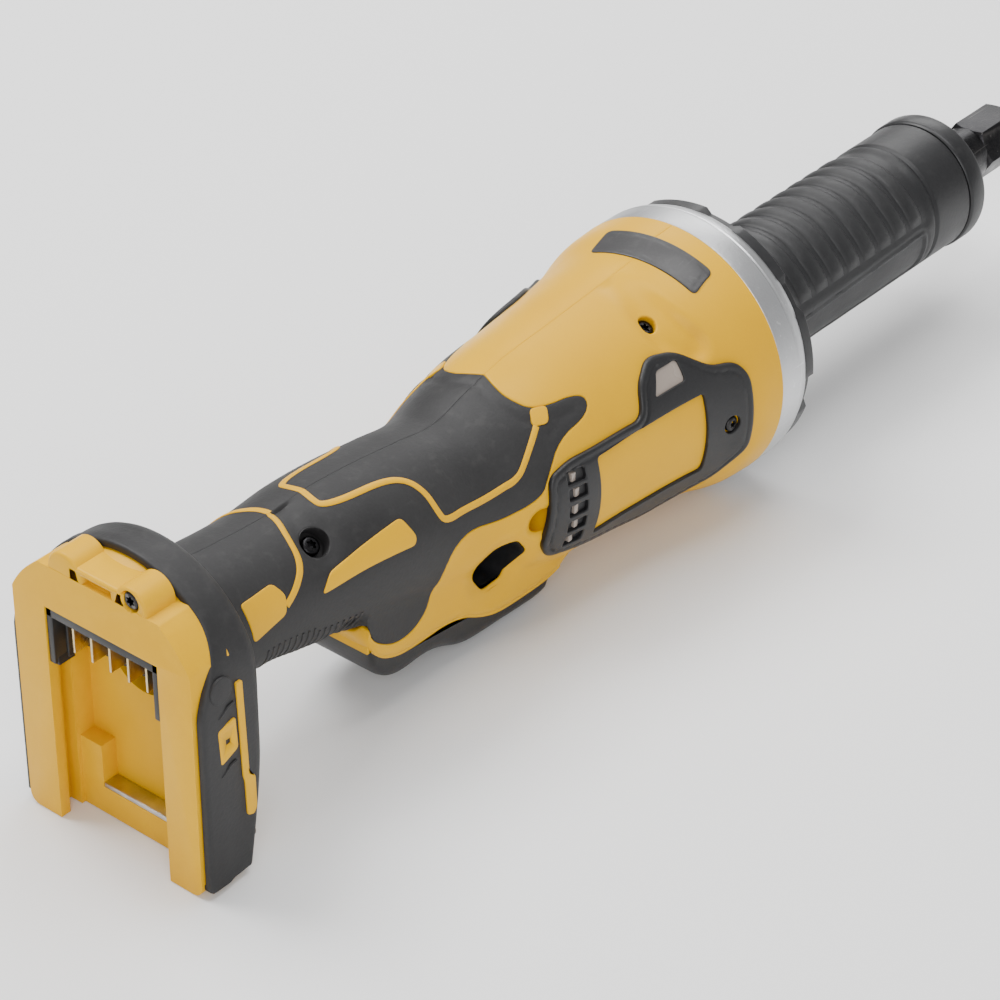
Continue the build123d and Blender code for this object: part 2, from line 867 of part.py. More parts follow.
with BuildPart() as control_module:
    add(
        cross_block(
            module_rear,
            module_front,
            module_half_width - tray_wall,
            tray_wall - module_half_height,
            module_half_height,
            module_height,
        )
    )
with BuildPart() as module_tray:
    add(module_space)
    add(control_module.part, mode=Mode.SUBTRACT)

# ================================================================ motor
hub_wall = 4.0
vent_hole_radius = 4.4
post_radius = 1.8
with BuildPart() as bearing_bracket:
    add(slice_of(cavity_form, bracket_rear, bracket_rear + bracket_plate))
    with BuildSketch(cross_plane(bracket_rear)):
        Circle(rear_bearing_radius + hub_wall)
    extrude(amount=bracket_depth)
    with BuildSketch(cross_plane(bracket_rear)):
        with PolarLocations(stator_radius - 3, 4, start_angle=45):
            Circle(post_radius)
    extrude(amount=board_rear - bracket_rear)
    with BuildSketch(cross_plane(bracket_rear + bracket_plate)):
        Circle(rear_bearing_radius)
    extrude(amount=far, mode=Mode.SUBTRACT)
    with BuildSketch(cross_plane(bracket_rear)):
        Circle(rear_journal_radius + 1)
        with PolarLocations(lead_rise, 8, start_angle=90):
            Circle(vent_hole_radius)
    extrude(amount=bracket_plate, mode=Mode.SUBTRACT)

rear_bearing_start = bracket_rear + bracket_plate
rear_bearing_end = rear_bearing_start + rear_bearing_width
front_bearing_end = ring_front - 4
front_bearing_start = front_bearing_end - front_bearing_width
spindle_bearing_rear = ring_front + 29
spindle_bearing_front = nose_front - 7 - spindle_bearing_width


def bearing(start, width, bore_radius, outer_radius):
    """A shielded ball bearing as one ring, with a shallow shield groove in both faces."""
    groove = 0.4
    low = bore_radius + 0.3 * (outer_radius - bore_radius)
    high = bore_radius + 0.75 * (outer_radius - bore_radius)
    return turned(
        (start, bore_radius),
        (start, low),
        (start + groove, low),
        (start + groove, high),
        (start, high),
        (start, outer_radius),
        (start + width, outer_radius),
        (start + width, high),
        (start + width - groove, high),
        (start + width - groove, low),
        (start + width, low),
        (start + width, bore_radius),
    )


race_gap = 0.02
rear_motor_bearing = bearing(
    rear_bearing_start, rear_bearing_width, rear_journal_radius + race_gap, rear_bearing_radius
)
front_motor_bearing = bearing(
    front_bearing_start, front_bearing_width, shaft_radius + race_gap, front_bearing_radius
)
rear_spindle_bearing = bearing(
    spindle_bearing_rear, spindle_bearing_width, spindle_journal_radius + race_gap, spindle_bearing_radius
)
front_spindle_bearing = bearing(
    spindle_bearing_front, spindle_bearing_width, spindle_journal_radius + race_gap, spindle_bearing_radius
)

tooth_count = 6
tooth_width = 6.0
tooth_tip_width = 13.0
tooth_tip_height = 1.5
air_gap = 1.0
magnet_radius = 16.0
magnet_thickness = 2.5
yoke_radius = 23.5
coil_side = 3.0
tip_radius = magnet_radius + air_gap
tooth_height = yoke_radius - tip_radius
coil_low = tip_radius + tooth_tip_height + 0.3
coil_middle = (coil_low + yoke_radius - 0.6) / 2
coil_height = yoke_radius - 0.6 - coil_low

with BuildPart() as stator_core:
    with BuildSketch(cross_plane(stator_rear)):
        Circle(stator_radius)
        Circle(yoke_radius, mode=Mode.SUBTRACT)
        with PolarLocations(tip_radius + tooth_height / 2, tooth_count, start_angle=90):
            Rectangle(tooth_height + 1, tooth_width)
        with PolarLocations(tip_radius + tooth_tip_height / 2, tooth_count, start_angle=90):
            Rectangle(tooth_tip_height, tooth_tip_width)
        Circle(tip_radius, mode=Mode.SUBTRACT)
    extrude(amount=stator_length)

with BuildPart() as stator_windings:
    with BuildSketch(cross_plane(stator_rear - coil_overhang)):
        with PolarLocations(coil_middle, tooth_count, start_angle=90):
            RectangleRounded(coil_height, tooth_width + 2 * coil_side, 1.2)
    extrude(amount=stator_length + 2 * coil_overhang)
    with BuildSketch(cross_plane(stator_rear)):
        with PolarLocations(coil_middle, tooth_count, start_angle=90):
            Rectangle(coil_height + 2, tooth_width)
    extrude(amount=stator_length, mode=Mode.SUBTRACT)

shaft_rear = rear_bearing_start + 0.3
shaft_end = ring_front + 18
coupling_rear = ring_front + 5
coupling_radius = 9.5
coupling_end = spindle_bearing_rear - 1
spindle_rear = shaft_end + 1.5
rotor_shaft = turned(
    (shaft_rear, 0),
    (shaft_rear, rear_journal_radius),
    (rear_bearing_end + 0.4, rear_journal_radius),
    (rear_bearing_end + 0.4, shaft_radius),
    (shaft_end, shaft_radius),
    (shaft_end, 0),
)
with BuildPart() as rotor_core:
    with BuildSketch(cross_plane(stator_rear)):
        Circle(magnet_radius - magnet_thickness)
        Circle(shaft_radius, mode=Mode.SUBTRACT)
        with PolarLocations((magnet_radius - magnet_thickness + shaft_radius) / 2, 6):
            Circle(1.5, mode=Mode.SUBTRACT)
    extrude(amount=stator_length)
with BuildPart() as rotor_magnets:
    with BuildSketch(cross_plane(stator_rear)):
        Circle(magnet_radius)
        Circle(magnet_radius - magnet_thickness, mode=Mode.SUBTRACT)
        with PolarLocations(magnet_radius, 2, angular_range=180, start_angle=0):
            Rectangle(3 * magnet_radius, 1.2, mode=Mode.SUBTRACT)
    extrude(amount=stator_length)

with BuildPart() as sensor_board:
    with BuildSketch(cross_plane(board_rear)):
        Circle(stator_radius - 1)
        Circle(shaft_radius + 4, mode=Mode.SUBTRACT)
        with Locations((0, lead_rise)):
            Circle(vent_hole_radius, mode=Mode.SUBTRACT)
    extrude(amount=board_thickness)

with BuildPart() as fan_baffle:
    add(slice_of(cavity_form, baffle_rear, baffle_rear + baffle_thickness))
    with BuildSketch(cross_plane(baffle_rear)):
        Circle(yoke_radius)
    extrude(amount=far, mode=Mode.SUBTRACT)

fan_radius = 30.0
fan_hub_radius = 9.0
blade_total = 9
fan_disc = 1.4
with BuildPart() as motor_fan:
    with BuildSketch(cross_plane(fan_rear)):
        Circle(fan_radius)
    extrude(amount=fan_disc)
    with BuildSketch(cross_plane(fan_rear)):
        Circle(fan_hub_radius)
    extrude(amount=fan_length)
    with BuildSketch(cross_plane(fan_rear)):
        with PolarLocations((fan_radius + fan_hub_radius) / 2 - 1, blade_total):
            Rectangle(fan_radius - fan_hub_radius, 1.2, rotation=20)
    extrude(amount=fan_length - 1)
    with BuildSketch(cross_plane(fan_rear)):
        Circle(shaft_radius)
    extrude(amount=fan_length, mode=Mode.SUBTRACT)

# ================================================================ front ring, flange and nose
tube_flange_radius = 33.0
tube_flange_thickness = 4.0
tube_radius = nose_radius - sleeve_thickness
tube_bore = spindle_bearing_radius - 1
window_low = tube_flange_radius + 1.8
window_high = 40.5
window_count = 8
spoke_width = 7.0
ring_bevel = 2.0
rim_thickness = 4.2

with BuildPart() as exhaust_windows:
    with BuildSketch(cross_plane(ring_rear)):
        Circle(window_high)
        Circle(window_low, mode=Mode.SUBTRACT)
        with PolarLocations(window_high, window_count // 2, angular_range=180, endpoint=False):
            Rectangle(2 * far, spoke_width, mode=Mode.SUBTRACT)
    extrude(amount=far)

flange_screw_spots = [(20.2, 20.2), (-20.2, 20.2), (-20.2, -20.2), (20.2, -20.2)]
flange_screw_plane = rearward_plane(nose_rear - 0.4)
flange_holes = screw_holes(flange_screw, flange_screw_plane, flange_screw_spots, 1.0)
flange_screws = screw_group(flange_screw, flange_screw_plane, flange_screw_spots)
web_rear = front_bearing_end - 5

with BuildPart() as front_ring:
    add(
        turned(
            (ring_rear, ring_radius - rim_thickness),
            (ring_rear, ring_radius),
            (ring_front - 5, ring_radius),
            (ring_front, ring_radius - ring_bevel),
            (ring_front, tube_flange_radius + running_clearance),
            (front_bearing_end, tube_flange_radius + running_clearance),
            (front_bearing_end, front_bearing_radius),
            (front_bearing_start, front_bearing_radius),
            (front_bearing_start, front_bearing_radius - 2),
            (front_bearing_start - 1.5, front_bearing_radius - 2),
            (front_bearing_start - 1.5, front_bearing_radius + hub_wall),
            (web_rear, front_bearing_radius + hub_wall),
            (web_rear, ring_radius - rim_thickness),
        )
    )
    add(exhaust_windows.part, mode=Mode.SUBTRACT)
    add(flange_holes, mode=Mode.SUBTRACT)

notch_width = 15.0
with BuildPart() as nose_flange:
    with BuildSketch(cross_plane(ring_front)):
        Circle(flange_radius)
        Circle(tube_radius, mode=Mode.SUBTRACT)
        with PolarLocations(flange_radius, window_count, start_angle=180 / window_count):
            Rectangle(2 * (flange_radius - window_low - 1), notch_width, mode=Mode.SUBTRACT)
    extrude(amount=flange_thickness)
    add(flange_holes, mode=Mode.SUBTRACT)

tube_end = nose_front - 4
with BuildPart() as nose_tube:
    add(
        turned(
            (front_bearing_end, spindle_bearing_radius),
            (front_bearing_end, tube_flange_radius),
            (ring_front, tube_flange_radius),
            (ring_front, tube_radius),
            (tube_end, tube_radius),
            (tube_end, spindle_bearing_radius),
            (spindle_bearing_front - 0.1, spindle_bearing_radius),
            (spindle_bearing_front - 0.1, tube_bore),
            (spindle_bearing_rear + spindle_bearing_width + 0.1, tube_bore),
            (spindle_bearing_rear + spindle_bearing_width + 0.1, spindle_bearing_radius),
        )
    )
    add(flange_holes, mode=Mode.SUBTRACT)

sleeve_front = nose_front - 9
groove_depth = 0.8
groove_width = 1.6
with BuildPart() as nose_sleeve:
    with BuildSketch(cross_plane(nose_rear)):
        Circle(nose_radius)
        Circle(tube_radius, mode=Mode.SUBTRACT)
    extrude(amount=sleeve_front - nose_rear)
    for place in (nose_rear + 18, sleeve_front - 20):
        with BuildSketch(cross_plane(place)):
            Circle(nose_radius + 1)
            Circle(nose_radius - groove_depth, mode=Mode.SUBTRACT)
        extrude(amount=groove_width, mode=Mode.SUBTRACT)
    fillet(nose_sleeve.edges().group_by(Axis.X)[0].sort_by(SortBy.LENGTH)[-1], 0.8)

cap_radius = nose_radius + 0.7
cap_bore = 10.0
cap_round = 1.5
spigot_wall = 3.0
with BuildPart() as nose_cap:
    add(
        turned(
            (sleeve_front, tube_radius),
            (sleeve_front, cap_radius),
            (nose_front, cap_radius),
            (nose_front, cap_bore),
            (spindle_bearing_front + spindle_bearing_width, cap_bore),
            (spindle_bearing_front + spindle_bearing_width, spindle_bearing_radius),
            (tube_end, spindle_bearing_radius),
            (tube_end, tube_radius),
        )
    )
    fillet(nose_cap.edges().group_by(Axis.X)[-1].sort_by(SortBy.LENGTH)[-1], cap_round)

# ================================================================ spindle, collet and nut
seal_radius = 7.6
flats_radius = 8.5
flats_across = 14.0
flats_length = 10.0
thread_radius = 7.5
nut_length = 23.0
nut_across = 19.05
nut_chamfer = 1.6
collet_bore = 6.35 / 2
collet_length = 30.0
collet_widest = 6.3
collet_tail = 4.3
collet_mouth = 5.0
collet_shoulder = -13.0
collet_slit = 0.8
collet_slits = 2
spindle_end = -16.0
shank_relief = 3.6


def collet_cone(place, gap):
    """The radius of the collet's long rear cone at a place, opened by a gap."""
    share = (place + collet_length) / (collet_shoulder + collet_length)
    return collet_tail + share * (collet_widest - collet_tail) + gap


dust_seal = turned(
    (nose_front - 3.4, seal_radius + running_clearance),
    (nose_front - 3.4, cap_bore),
    (nose_front - 0.6, cap_bore),
    (nose_front - 0.6, seal_radius + running_clearance),
)
bearing_spacer = turned(
    (spindle_bearing_rear + spindle_bearing_width + 0.1, spindle_journal_radius),
    (spindle_bearing_rear + spindle_bearing_width + 0.1, spindle_journal_radius + 2.5),
    (spindle_bearing_front - 0.1, spindle_journal_radius + 2.5),
    (spindle_bearing_front - 0.1, spindle_journal_radius),
)
collar_rear = spindle_bearing_front + spindle_bearing_width + 0.1
flats_rear = nose_front + 1
thread_rear = flats_rear + flats_length
relief_depth = 40.0
with BuildPart() as spindle:
    add(
        turned(
            (spindle_rear, 0),
            (spindle_rear, spindle_journal_radius),
            (collar_rear, spindle_journal_radius),
            (collar_rear, seal_radius),
            (flats_rear, seal_radius),
            (flats_rear, flats_radius),
            (thread_rear, flats_radius),
            (thread_rear, thread_radius),
            (spindle_end, thread_radius),
            (spindle_end, collet_cone(spindle_end, running_clearance)),
            (-collet_length - 1, collet_cone(-collet_length - 1, running_clearance)),
            (-collet_length - 1, shank_relief),
            (spindle_end - relief_depth, shank_relief),
            (spindle_end - relief_depth, 0),
        )
    )
    for side in (-1, 1):
        with BuildSketch(cross_plane(flats_rear)):
            with Locations((side * (flats_across / 2 + 5), 0)):
                Rectangle(10, 4 * flats_radius)
        extrude(amount=flats_length, mode=Mode.SUBTRACT)

with BuildPart() as shaft_coupling:
    add(
        turned(
            (coupling_rear, shaft_radius),
            (coupling_rear, coupling_radius),
            (coupling_end, coupling_radius),
            (coupling_end, spindle_journal_radius),
            (spindle_rear, spindle_journal_radius),
            (spindle_rear, shaft_radius),
        )
    )
    for place in ((coupling_rear + shaft_end) / 2, (spindle_rear + coupling_end) / 2):
        with BuildSketch(Plane(origin=(place, 0, coupling_radius), x_dir=(1, 0, 0), z_dir=(0, 0, -1))):
            Circle(1.6)
        extrude(amount=2.0, mode=Mode.SUBTRACT)

with BuildPart() as collet:
    add(
        turned(
            (-collet_length, collet_bore),
            (-collet_length, collet_tail),
            (collet_shoulder, collet_widest),
            (0, collet_mouth),
            (0, collet_bore),
        )
    )
    with BuildSketch(cross_plane(-collet_length + 6)):
        with PolarLocations(0, collet_slits, angular_range=180, endpoint=False):
            Rectangle(4 * collet_widest, collet_slit)
    extrude(amount=far, mode=Mode.SUBTRACT)

with BuildPart() as collet_nut:
    with BuildSketch(cross_plane(-nut_length)):
        RegularPolygon(nut_across / 2, 6, major_radius=False)
    extrude(amount=nut_length)
    add(
        turned(
            (-nut_length, 0),
            (-nut_length, nut_across / 2),
            (-nut_length + nut_chamfer, nut_across * 0.6),
            (-2 * nut_chamfer, nut_across * 0.6),
            (0, nut_across / 2 - nut_chamfer),
            (0, 0),
        ),
        mode=Mode.INTERSECT,
    )
    add(
        turned(
            (-nut_length, 0),
            (-nut_length, thread_radius + running_clearance),
            (collet_shoulder - 0.5, thread_radius + running_clearance),
            (collet_shoulder - 0.5, collet_widest + running_clearance),
            (collet_shoulder, collet_widest + running_clearance),
            (0, collet_mouth + running_clearance),
            (0, 0),
        ),
        mode=Mode.SUBTRACT,
    )

# ================================================================ leads inside the housing
lead_start = module_height + 4
lead_bend = 14.0
lead_offset = 0.5
battery_lead_spread = 5.0
with BuildPart() as battery_leads:
    for side in (-1, 1):
        with BuildSketch(cross_plane(frame_front)):
            with Locations((side * battery_lead_spread, neck.rise)):
                Circle(lead_radius)
        extrude(amount=module_rear - frame_front)
with BuildPart() as switch_leads:
    for side in (-1, 1):
        with BuildSketch(cross_plane(module_front)):
            with Locations((side * lead_spacing, switch_high - 4)):
                Circle(lead_radius)
        extrude(amount=switch_box_rear - module_front)
lead_bottom = module_front + 8
motor_lead_runs = [
    tube_along(
        lead_radius,
        (module_front, side, lead_start),
        (lead_bottom, side, lead_start),
        (lead_bottom + lead_bend, side, lead_rise),
        (stator_rear - coil_overhang, side, lead_rise),
    )
    for side in (lead_offset - lead_spacing, lead_offset, lead_offset + lead_spacing)
]
with BuildPart() as motor_leads:
    for run in motor_lead_runs:
        add(run)

# ================================================================ the files
for label, part in {
    "left_shell": keep_side(housing.part, Keep.BOTTOM),
    "right_shell": keep_side(housing.part, Keep.TOP),
    "left_grip_rubber": keep_side(grip_rubber.part, Keep.BOTTOM),
    "right_grip_rubber": keep_side(grip_rubber.part, Keep.TOP),
    "left_side_cover": keep_side(cover_pair.part, Keep.BOTTOM),
    "right_side_cover": keep_side(cover_pair.part, Keep.TOP),
    "left_rating_plate": keep_side(label_pair.part, Keep.BOTTOM),
    "right_rating_plate": keep_side(label_pair.part, Keep.TOP),
    "status_lenses": window_pair.part,
    "intake_screens": screen_pair.part,
    "name_plate": name_plate.part,
    "cover_screws": cover_screw_group + mirror(cover_screw_group, Plane.XZ),
    "housing_screws": housing_screws,
    "battery_frame": battery_frame.part,
    "foot_core": foot_core.part,
    "foot_rubber": foot_rubber.part,
    "frame_screws": frame_screws.part,
    "strike_plate": strike_plate.part,
    "terminal_block": terminal_block.part,
    "terminal_blades": terminal_blades.part,
    "battery_leads": battery_leads.part,
    "control_module": control_module.part,
    "module_tray": module_tray.part,
    "switch_leads": switch_leads.part,
    "switch_body": switch_body.part,
    "switch_plunger": switch_plunger.part,
    "motor_leads": motor_leads.part,
    "paddle": paddle.part,
    "paddle_pin": paddle_pin.part,
    "paddle_spring": paddle_spring,
    "lock_off_lever": lock_off_lever.part,
    "lock_off_pin": lock_off_pin.part,
    "lock_off_spring": lever_spring,
    "bearing_bracket": bearing_bracket.part,
    "rear_motor_bearing": rear_motor_bearing,
    "sensor_board": sensor_board.part,
    "stator_core": stator_core.part,
    "stator_windings": stator_windings.part,
    "rotor_shaft": rotor_shaft,
    "rotor_core": rotor_core.part,
    "rotor_magnets": rotor_magnets.part,
    "fan_baffle": fan_baffle.part,
    "motor_fan": motor_fan.part,
    "front_motor_bearing": front_motor_bearing,
    "front_ring": front_ring.part,
    "nose_flange": nose_flange.part,
    "flange_screws": flange_screws,
    "nose_tube": nose_tube.part,
    "nose_sleeve": nose_sleeve.part,
    "nose_cap": nose_cap.part,
    "dust_seal": dust_seal,
    "rear_spindle_bearing": rear_spindle_bearing,
    "front_spindle_bearing": front_spindle_bearing,
    "bearing_spacer": bearing_spacer,
    "shaft_coupling": shaft_coupling.part,
    "spindle": spindle.part,
    "collet": collet.part,
    "collet_nut": collet_nut.part,
}.items():
    write(part, label)
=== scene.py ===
"""The looks of a cordless die grinder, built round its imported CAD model.

Lengths are in millimetres unless a name ends in _m. The frame is the CAD model's own: the origin
is the mouth of the collet, +X points out of it, +Y to the tool's left and +Z up.
"""

import json
import logging
import math
from dataclasses import dataclass
from enum import Enum
from functools import cache
from typing import Callable, Iterable, Sequence

import bmesh
import bpy
import numpy as np
from mathutils import Matrix, Vector


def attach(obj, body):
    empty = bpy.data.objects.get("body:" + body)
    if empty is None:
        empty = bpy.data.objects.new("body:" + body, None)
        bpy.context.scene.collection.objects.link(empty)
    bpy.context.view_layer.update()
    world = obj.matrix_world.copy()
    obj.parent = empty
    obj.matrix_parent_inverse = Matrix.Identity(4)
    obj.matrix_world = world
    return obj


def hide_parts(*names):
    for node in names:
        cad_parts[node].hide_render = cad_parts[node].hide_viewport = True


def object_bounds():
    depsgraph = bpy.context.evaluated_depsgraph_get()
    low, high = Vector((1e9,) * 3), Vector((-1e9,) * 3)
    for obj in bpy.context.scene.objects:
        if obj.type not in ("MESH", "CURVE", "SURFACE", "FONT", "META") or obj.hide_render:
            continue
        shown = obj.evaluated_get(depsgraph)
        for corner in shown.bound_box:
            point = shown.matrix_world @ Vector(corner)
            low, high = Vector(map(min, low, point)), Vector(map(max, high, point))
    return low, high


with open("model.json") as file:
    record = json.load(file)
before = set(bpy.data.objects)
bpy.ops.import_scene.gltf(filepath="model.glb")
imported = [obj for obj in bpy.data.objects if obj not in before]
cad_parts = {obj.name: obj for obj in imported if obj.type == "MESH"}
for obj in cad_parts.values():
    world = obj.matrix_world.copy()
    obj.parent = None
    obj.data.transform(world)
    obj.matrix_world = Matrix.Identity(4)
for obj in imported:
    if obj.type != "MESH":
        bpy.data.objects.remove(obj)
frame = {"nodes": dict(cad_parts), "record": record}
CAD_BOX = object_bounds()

LOG = logging.getLogger("die_grinder")
MM = 0.001
HOUSING = "housing"
FOOT_REAR = -445.0
NOSE_REAR = -175.0
BEAD_SIDES = 8

Points = np.ndarray
Field = np.ndarray
Piece = bpy.types.Object


def at(distance: float) -> float:
    """The place along the tool of a distance measured forwards from the rear face of the foot."""
    return FOOT_REAR + distance


class Side(Enum):
    """A side of the tool, as the sign of its Y."""

    RIGHT = -1
    LEFT = 1


# ------------------------------------------------------------------------------ plain geometry
def smooth_step(value: Field, low: float, high: float) -> Field:
    """A smooth rise from 0 at low to 1 at high.

    Args:
        value: The numbers to shape.
        low: Where the rise starts.
        high: Where the rise ends.

    Returns:
        The shaped numbers, each from 0 to 1.
    """
    share = np.clip((value - low) / (high - low), 0.0, 1.0)
    return share * share * (3.0 - 2.0 * share)


def quarter_round(inside: Field, radius: float) -> Field:
    """How far a rounded edge has dropped.

    Args:
        inside: Distances in from the edge.
        radius: The radius of the rounding.

    Returns:
        Depths below the full surface: the radius at the edge and 0 further in.
    """
    left = np.clip(radius - inside, 0.0, radius)
    return radius - np.sqrt(np.maximum(radius * radius - left * left, 0.0))


def polygon_distance(x: Field, y: Field, outline: Sequence[tuple[float, float]]) -> Field:
    """Signed distance to a closed outline, positive inside.

    Args:
        x: First coordinates of the points.
        y: Second coordinates of the points.
        outline: The corners in order.

    Returns:
        One distance for each point.
    """
    corners = np.array(outline, float)
    nearest = np.full(x.shape, 1e9)
    inside = np.zeros(x.shape, bool)
    for (ax, ay), (bx, by) in zip(corners, np.roll(corners, -1, axis=0)):
        dx, dy = bx - ax, by - ay
        share = np.clip(((x - ax) * dx + (y - ay) * dy) / max(dx * dx + dy * dy, 1e-12), 0, 1)
        nearest = np.minimum(nearest, np.hypot(x - ax - share * dx, y - ay - share * dy))
        crosses = (ay > y) != (by > y)
        with np.errstate(divide="ignore", invalid="ignore"):
            meet = ax + (y - ay) * dx / (dy if dy else 1e-12)
        inside ^= crosses & (x < meet)
    return np.where(inside, nearest, -nearest)


def rounded(path: Sequence[tuple[float, ...]], passes: int = 3, closed: bool = False) -> list:
    """A path or outline with its corners cut off again and again, which rounds them.

    Args:
        path: The corners in order.
        passes: How many times the corners are cut.
        closed: Whether the last corner joins the first.

    Returns:
        The points of the rounded path.
    """
    points = np.array(path, float)
    for _ in range(passes):
        after = np.roll(points, -1, axis=0) if closed else points[1:]
        before = points if closed else points[:-1]
        cut = np.empty((2 * len(before), points.shape[1]))
        cut[0::2] = 0.75 * before + 0.25 * after
        cut[1::2] = 0.25 * before + 0.75 * after
        points = cut if closed else np.vstack([points[:1], cut, points[-1:]])
    return [tuple(p) for p in points]


def soft_corners(outline: Sequence[tuple[float, float]], reach: float, steps: int = 4) -> list:
    """An outline with each corner replaced by an arc-like curve of a given reach.

    Args:
        outline: The corners in order.
        reach: How far along each side the curve starts.
        steps: The number of points on each curve, less one.

    Returns:
        The points of the softened outline.
    """
    corners = np.array(outline, float)
    result = []
    for before, corner, after in zip(np.roll(corners, 1, 0), corners, np.roll(corners, -1, 0)):
        back, on = before - corner, after - corner
        start = corner + back * min(reach / np.linalg.norm(back), 0.45)
        end = corner + on * min(reach / np.linalg.norm(on), 0.45)
        for share in np.linspace(0, 1, steps + 1):
            result.append(tuple((1 - share) ** 2 * start + 2 * share * (1 - share) * corner + share**2 * end))
    return result


# ------------------------------------------------------------------------------ mesh building
def new_object(name: str, points: Iterable, faces: Iterable, sharp_degrees: float = 38.0) -> Piece:
    """A mesh object at the origin from points in millimetres.

    Args:
        name: The piece's name.
        points: The places of the vertices.
        faces: Vertex numbers, counter-clockwise seen from outside.
        sharp_degrees: Edges that turn by more than this are shown sharp.

    Returns:
        The new object.
    """
    mesh = bpy.data.meshes.new(name)
    mesh.from_pydata((np.array(list(points), float) * MM).tolist(), [], [list(map(int, f)) for f in faces])
    mesh.validate()
    mesh.shade_smooth()
    mesh.set_sharp_from_angle(angle=math.radians(sharp_degrees))
    piece = bpy.data.objects.new(name, mesh)
    bpy.context.scene.collection.objects.link(piece)
    return piece


def loft(name: str, rings: Sequence[Points], sharp_degrees: float = 38.0, open_ends: bool = False) -> Piece:
    """A closed solid through rings of equal counts.

    Args:
        name: The piece's name.
        rings: The rings in order, counter-clockwise seen from the last ring's side.
        sharp_degrees: Edges that turn by more than this are shown sharp.
        open_ends: Whether the last ring joins the first, as on a hollow sleeve.

    Returns:
        The new object.
    """
    count = len(rings[0])
    points = np.vstack(rings)
    faces = []
    pairs = list(zip(range(len(rings) - 1), range(1, len(rings))))
    if open_ends:
        pairs.append((len(rings) - 1, 0))
    for low, high in pairs:
        for i in range(count):
            j = (i + 1) % count
            faces.append((low * count + i, low * count + j, high * count + j, high * count + i))
    if not open_ends:
        first, last = len(points), len(points) + 1
        points = np.vstack([points, rings[0].mean(0), rings[-1].mean(0)])
        top = (len(rings) - 1) * count
        for i in range(count):
            j = (i + 1) % count
            faces.append((j, i, first))
            faces.append((top + i, top + j, last))
    piece = new_object(name, points, faces, sharp_degrees)
    outwards(piece)
    return piece


def outwards(piece: Piece) -> None:
    """Turns every face of a closed piece outwards and merges its doubles."""
    bm = bmesh.new()
    bm.from_mesh(piece.data)
    bmesh.ops.remove_doubles(bm, verts=bm.verts, dist=1e-6)
    bmesh.ops.recalc_face_normals(bm, faces=bm.faces)
    bm.to_mesh(piece.data)
    bm.free()


def turned_piece(
    name: str, profile: Sequence[tuple[float, float]], segments: int = 128, sharp_degrees: float = 32.0
) -> Piece:
    """A hollow solid of revolution about the spindle.

    Args:
        name: The piece's name.
        profile: A closed run of (place, radius) points.
        segments: Divisions round the axis.
        sharp_degrees: Edges that turn by more than this are shown sharp.

    Returns:
        The new object.
    """
    angles = np.linspace(0, 2 * math.pi, segments, endpoint=False)
    rings = []
    for place, radius in profile:
        ring = np.stack([np.full(segments, place), radius * np.cos(angles), radius * np.sin(angles)], 1)
        rings.append(ring)
    return loft(name, rings, sharp_degrees, open_ends=True)


def prism(
    name: str,
    outline: Sequence[tuple[float, float]],
    place: Callable[[float, float, float], tuple[float, float, float]],
    depth: float,
    edge: float,
) -> Piece:
    """A solid slab with a rounded front edge.

    Args:
        name: The piece's name.
        outline: The slab's outline in its own plane.
        place: Turns (u, v, height) into a place on the tool.
        depth: The slab's thickness.
        edge: The radius of its front edge.

    Returns:
        The new object.
    """
    corners = np.array(outline, float)
    area = 0.5 * np.sum(
        corners[:, 0] * np.roll(corners[:, 1], -1) - np.roll(corners[:, 0], -1) * corners[:, 1]
    )
    side = np.roll(corners, -1, 0) - np.roll(corners, 1, 0)
    turn = math.copysign(1, area)
    inward = np.stack([-side[:, 1], side[:, 0]], 1) / np.linalg.norm(side, axis=1)[:, None] * turn
    rings = [np.array([place(u, v, -depth) for u, v in corners])]
    for share in (0.0, 0.25, 0.5, 0.75, 1.0):
        angle = share * math.pi / 2
        drawn = corners + inward * edge * (1 - math.cos(angle))
        height = -edge * (1 - math.sin(angle))
        rings.append(np.array([place(u, v, height) for u, v in drawn]))
    return loft(name, rings, 50.0)


def tidy_copy(node: str, name: str) -> Piece:
    """A merged copy of a CAD node's mesh as an object of its own.

    Args:
        node: The CAD node.
        name: The new piece's name.

    Returns:
        The new object.
    """
    mesh = frame["nodes"][node].data.copy()
    mesh.name = name
    mesh.materials.clear()
    bm = bmesh.new()
    bm.from_mesh(mesh)
    bmesh.ops.remove_doubles(bm, verts=bm.verts, dist=2e-6)
    bmesh.ops.dissolve_limit(bm, angle_limit=math.radians(0.8), verts=bm.verts, edges=bm.edges)
    bm.to_mesh(mesh)
    bm.free()
    piece = bpy.data.objects.new(name, mesh)
    bpy.context.scene.collection.objects.link(piece)
    return piece


def softened(piece: Piece, radius: float, segments: int = 3, angle_degrees: float = 28.0) -> Piece:
    """Rounds every hard edge of a piece.

    Args:
        piece: The piece, changed in place.
        radius: The radius of the rounding.
        segments: Steps across the rounding.
        angle_degrees: Edges that turn by more than this are rounded.

    Returns:
        The same piece.
    """
    bevel = piece.modifiers.new("edges", "BEVEL")
    bevel.width = radius * MM
    bevel.segments = segments
    bevel.limit_method = "ANGLE"
    bevel.angle_limit = math.radians(angle_degrees)
    bevel.use_clamp_overlap = True
    bevel.harden_normals = False
    apply_modifiers(piece)
    piece.data.shade_smooth()
    piece.data.set_sharp_from_angle(angle=math.radians(35))
    return piece


def apply_modifiers(piece: Piece) -> None:
    """Replaces a piece's mesh by what its modifiers make of it."""
    graph = bpy.context.evaluated_depsgraph_get()
    graph.update()
    made = bpy.data.meshes.new_from_object(piece.evaluated_get(graph))
    piece.modifiers.clear()
    old = piece.data
    piece.data = made
    made.name = piece.name
    if old.users == 0:
        bpy.data.meshes.remove(old)


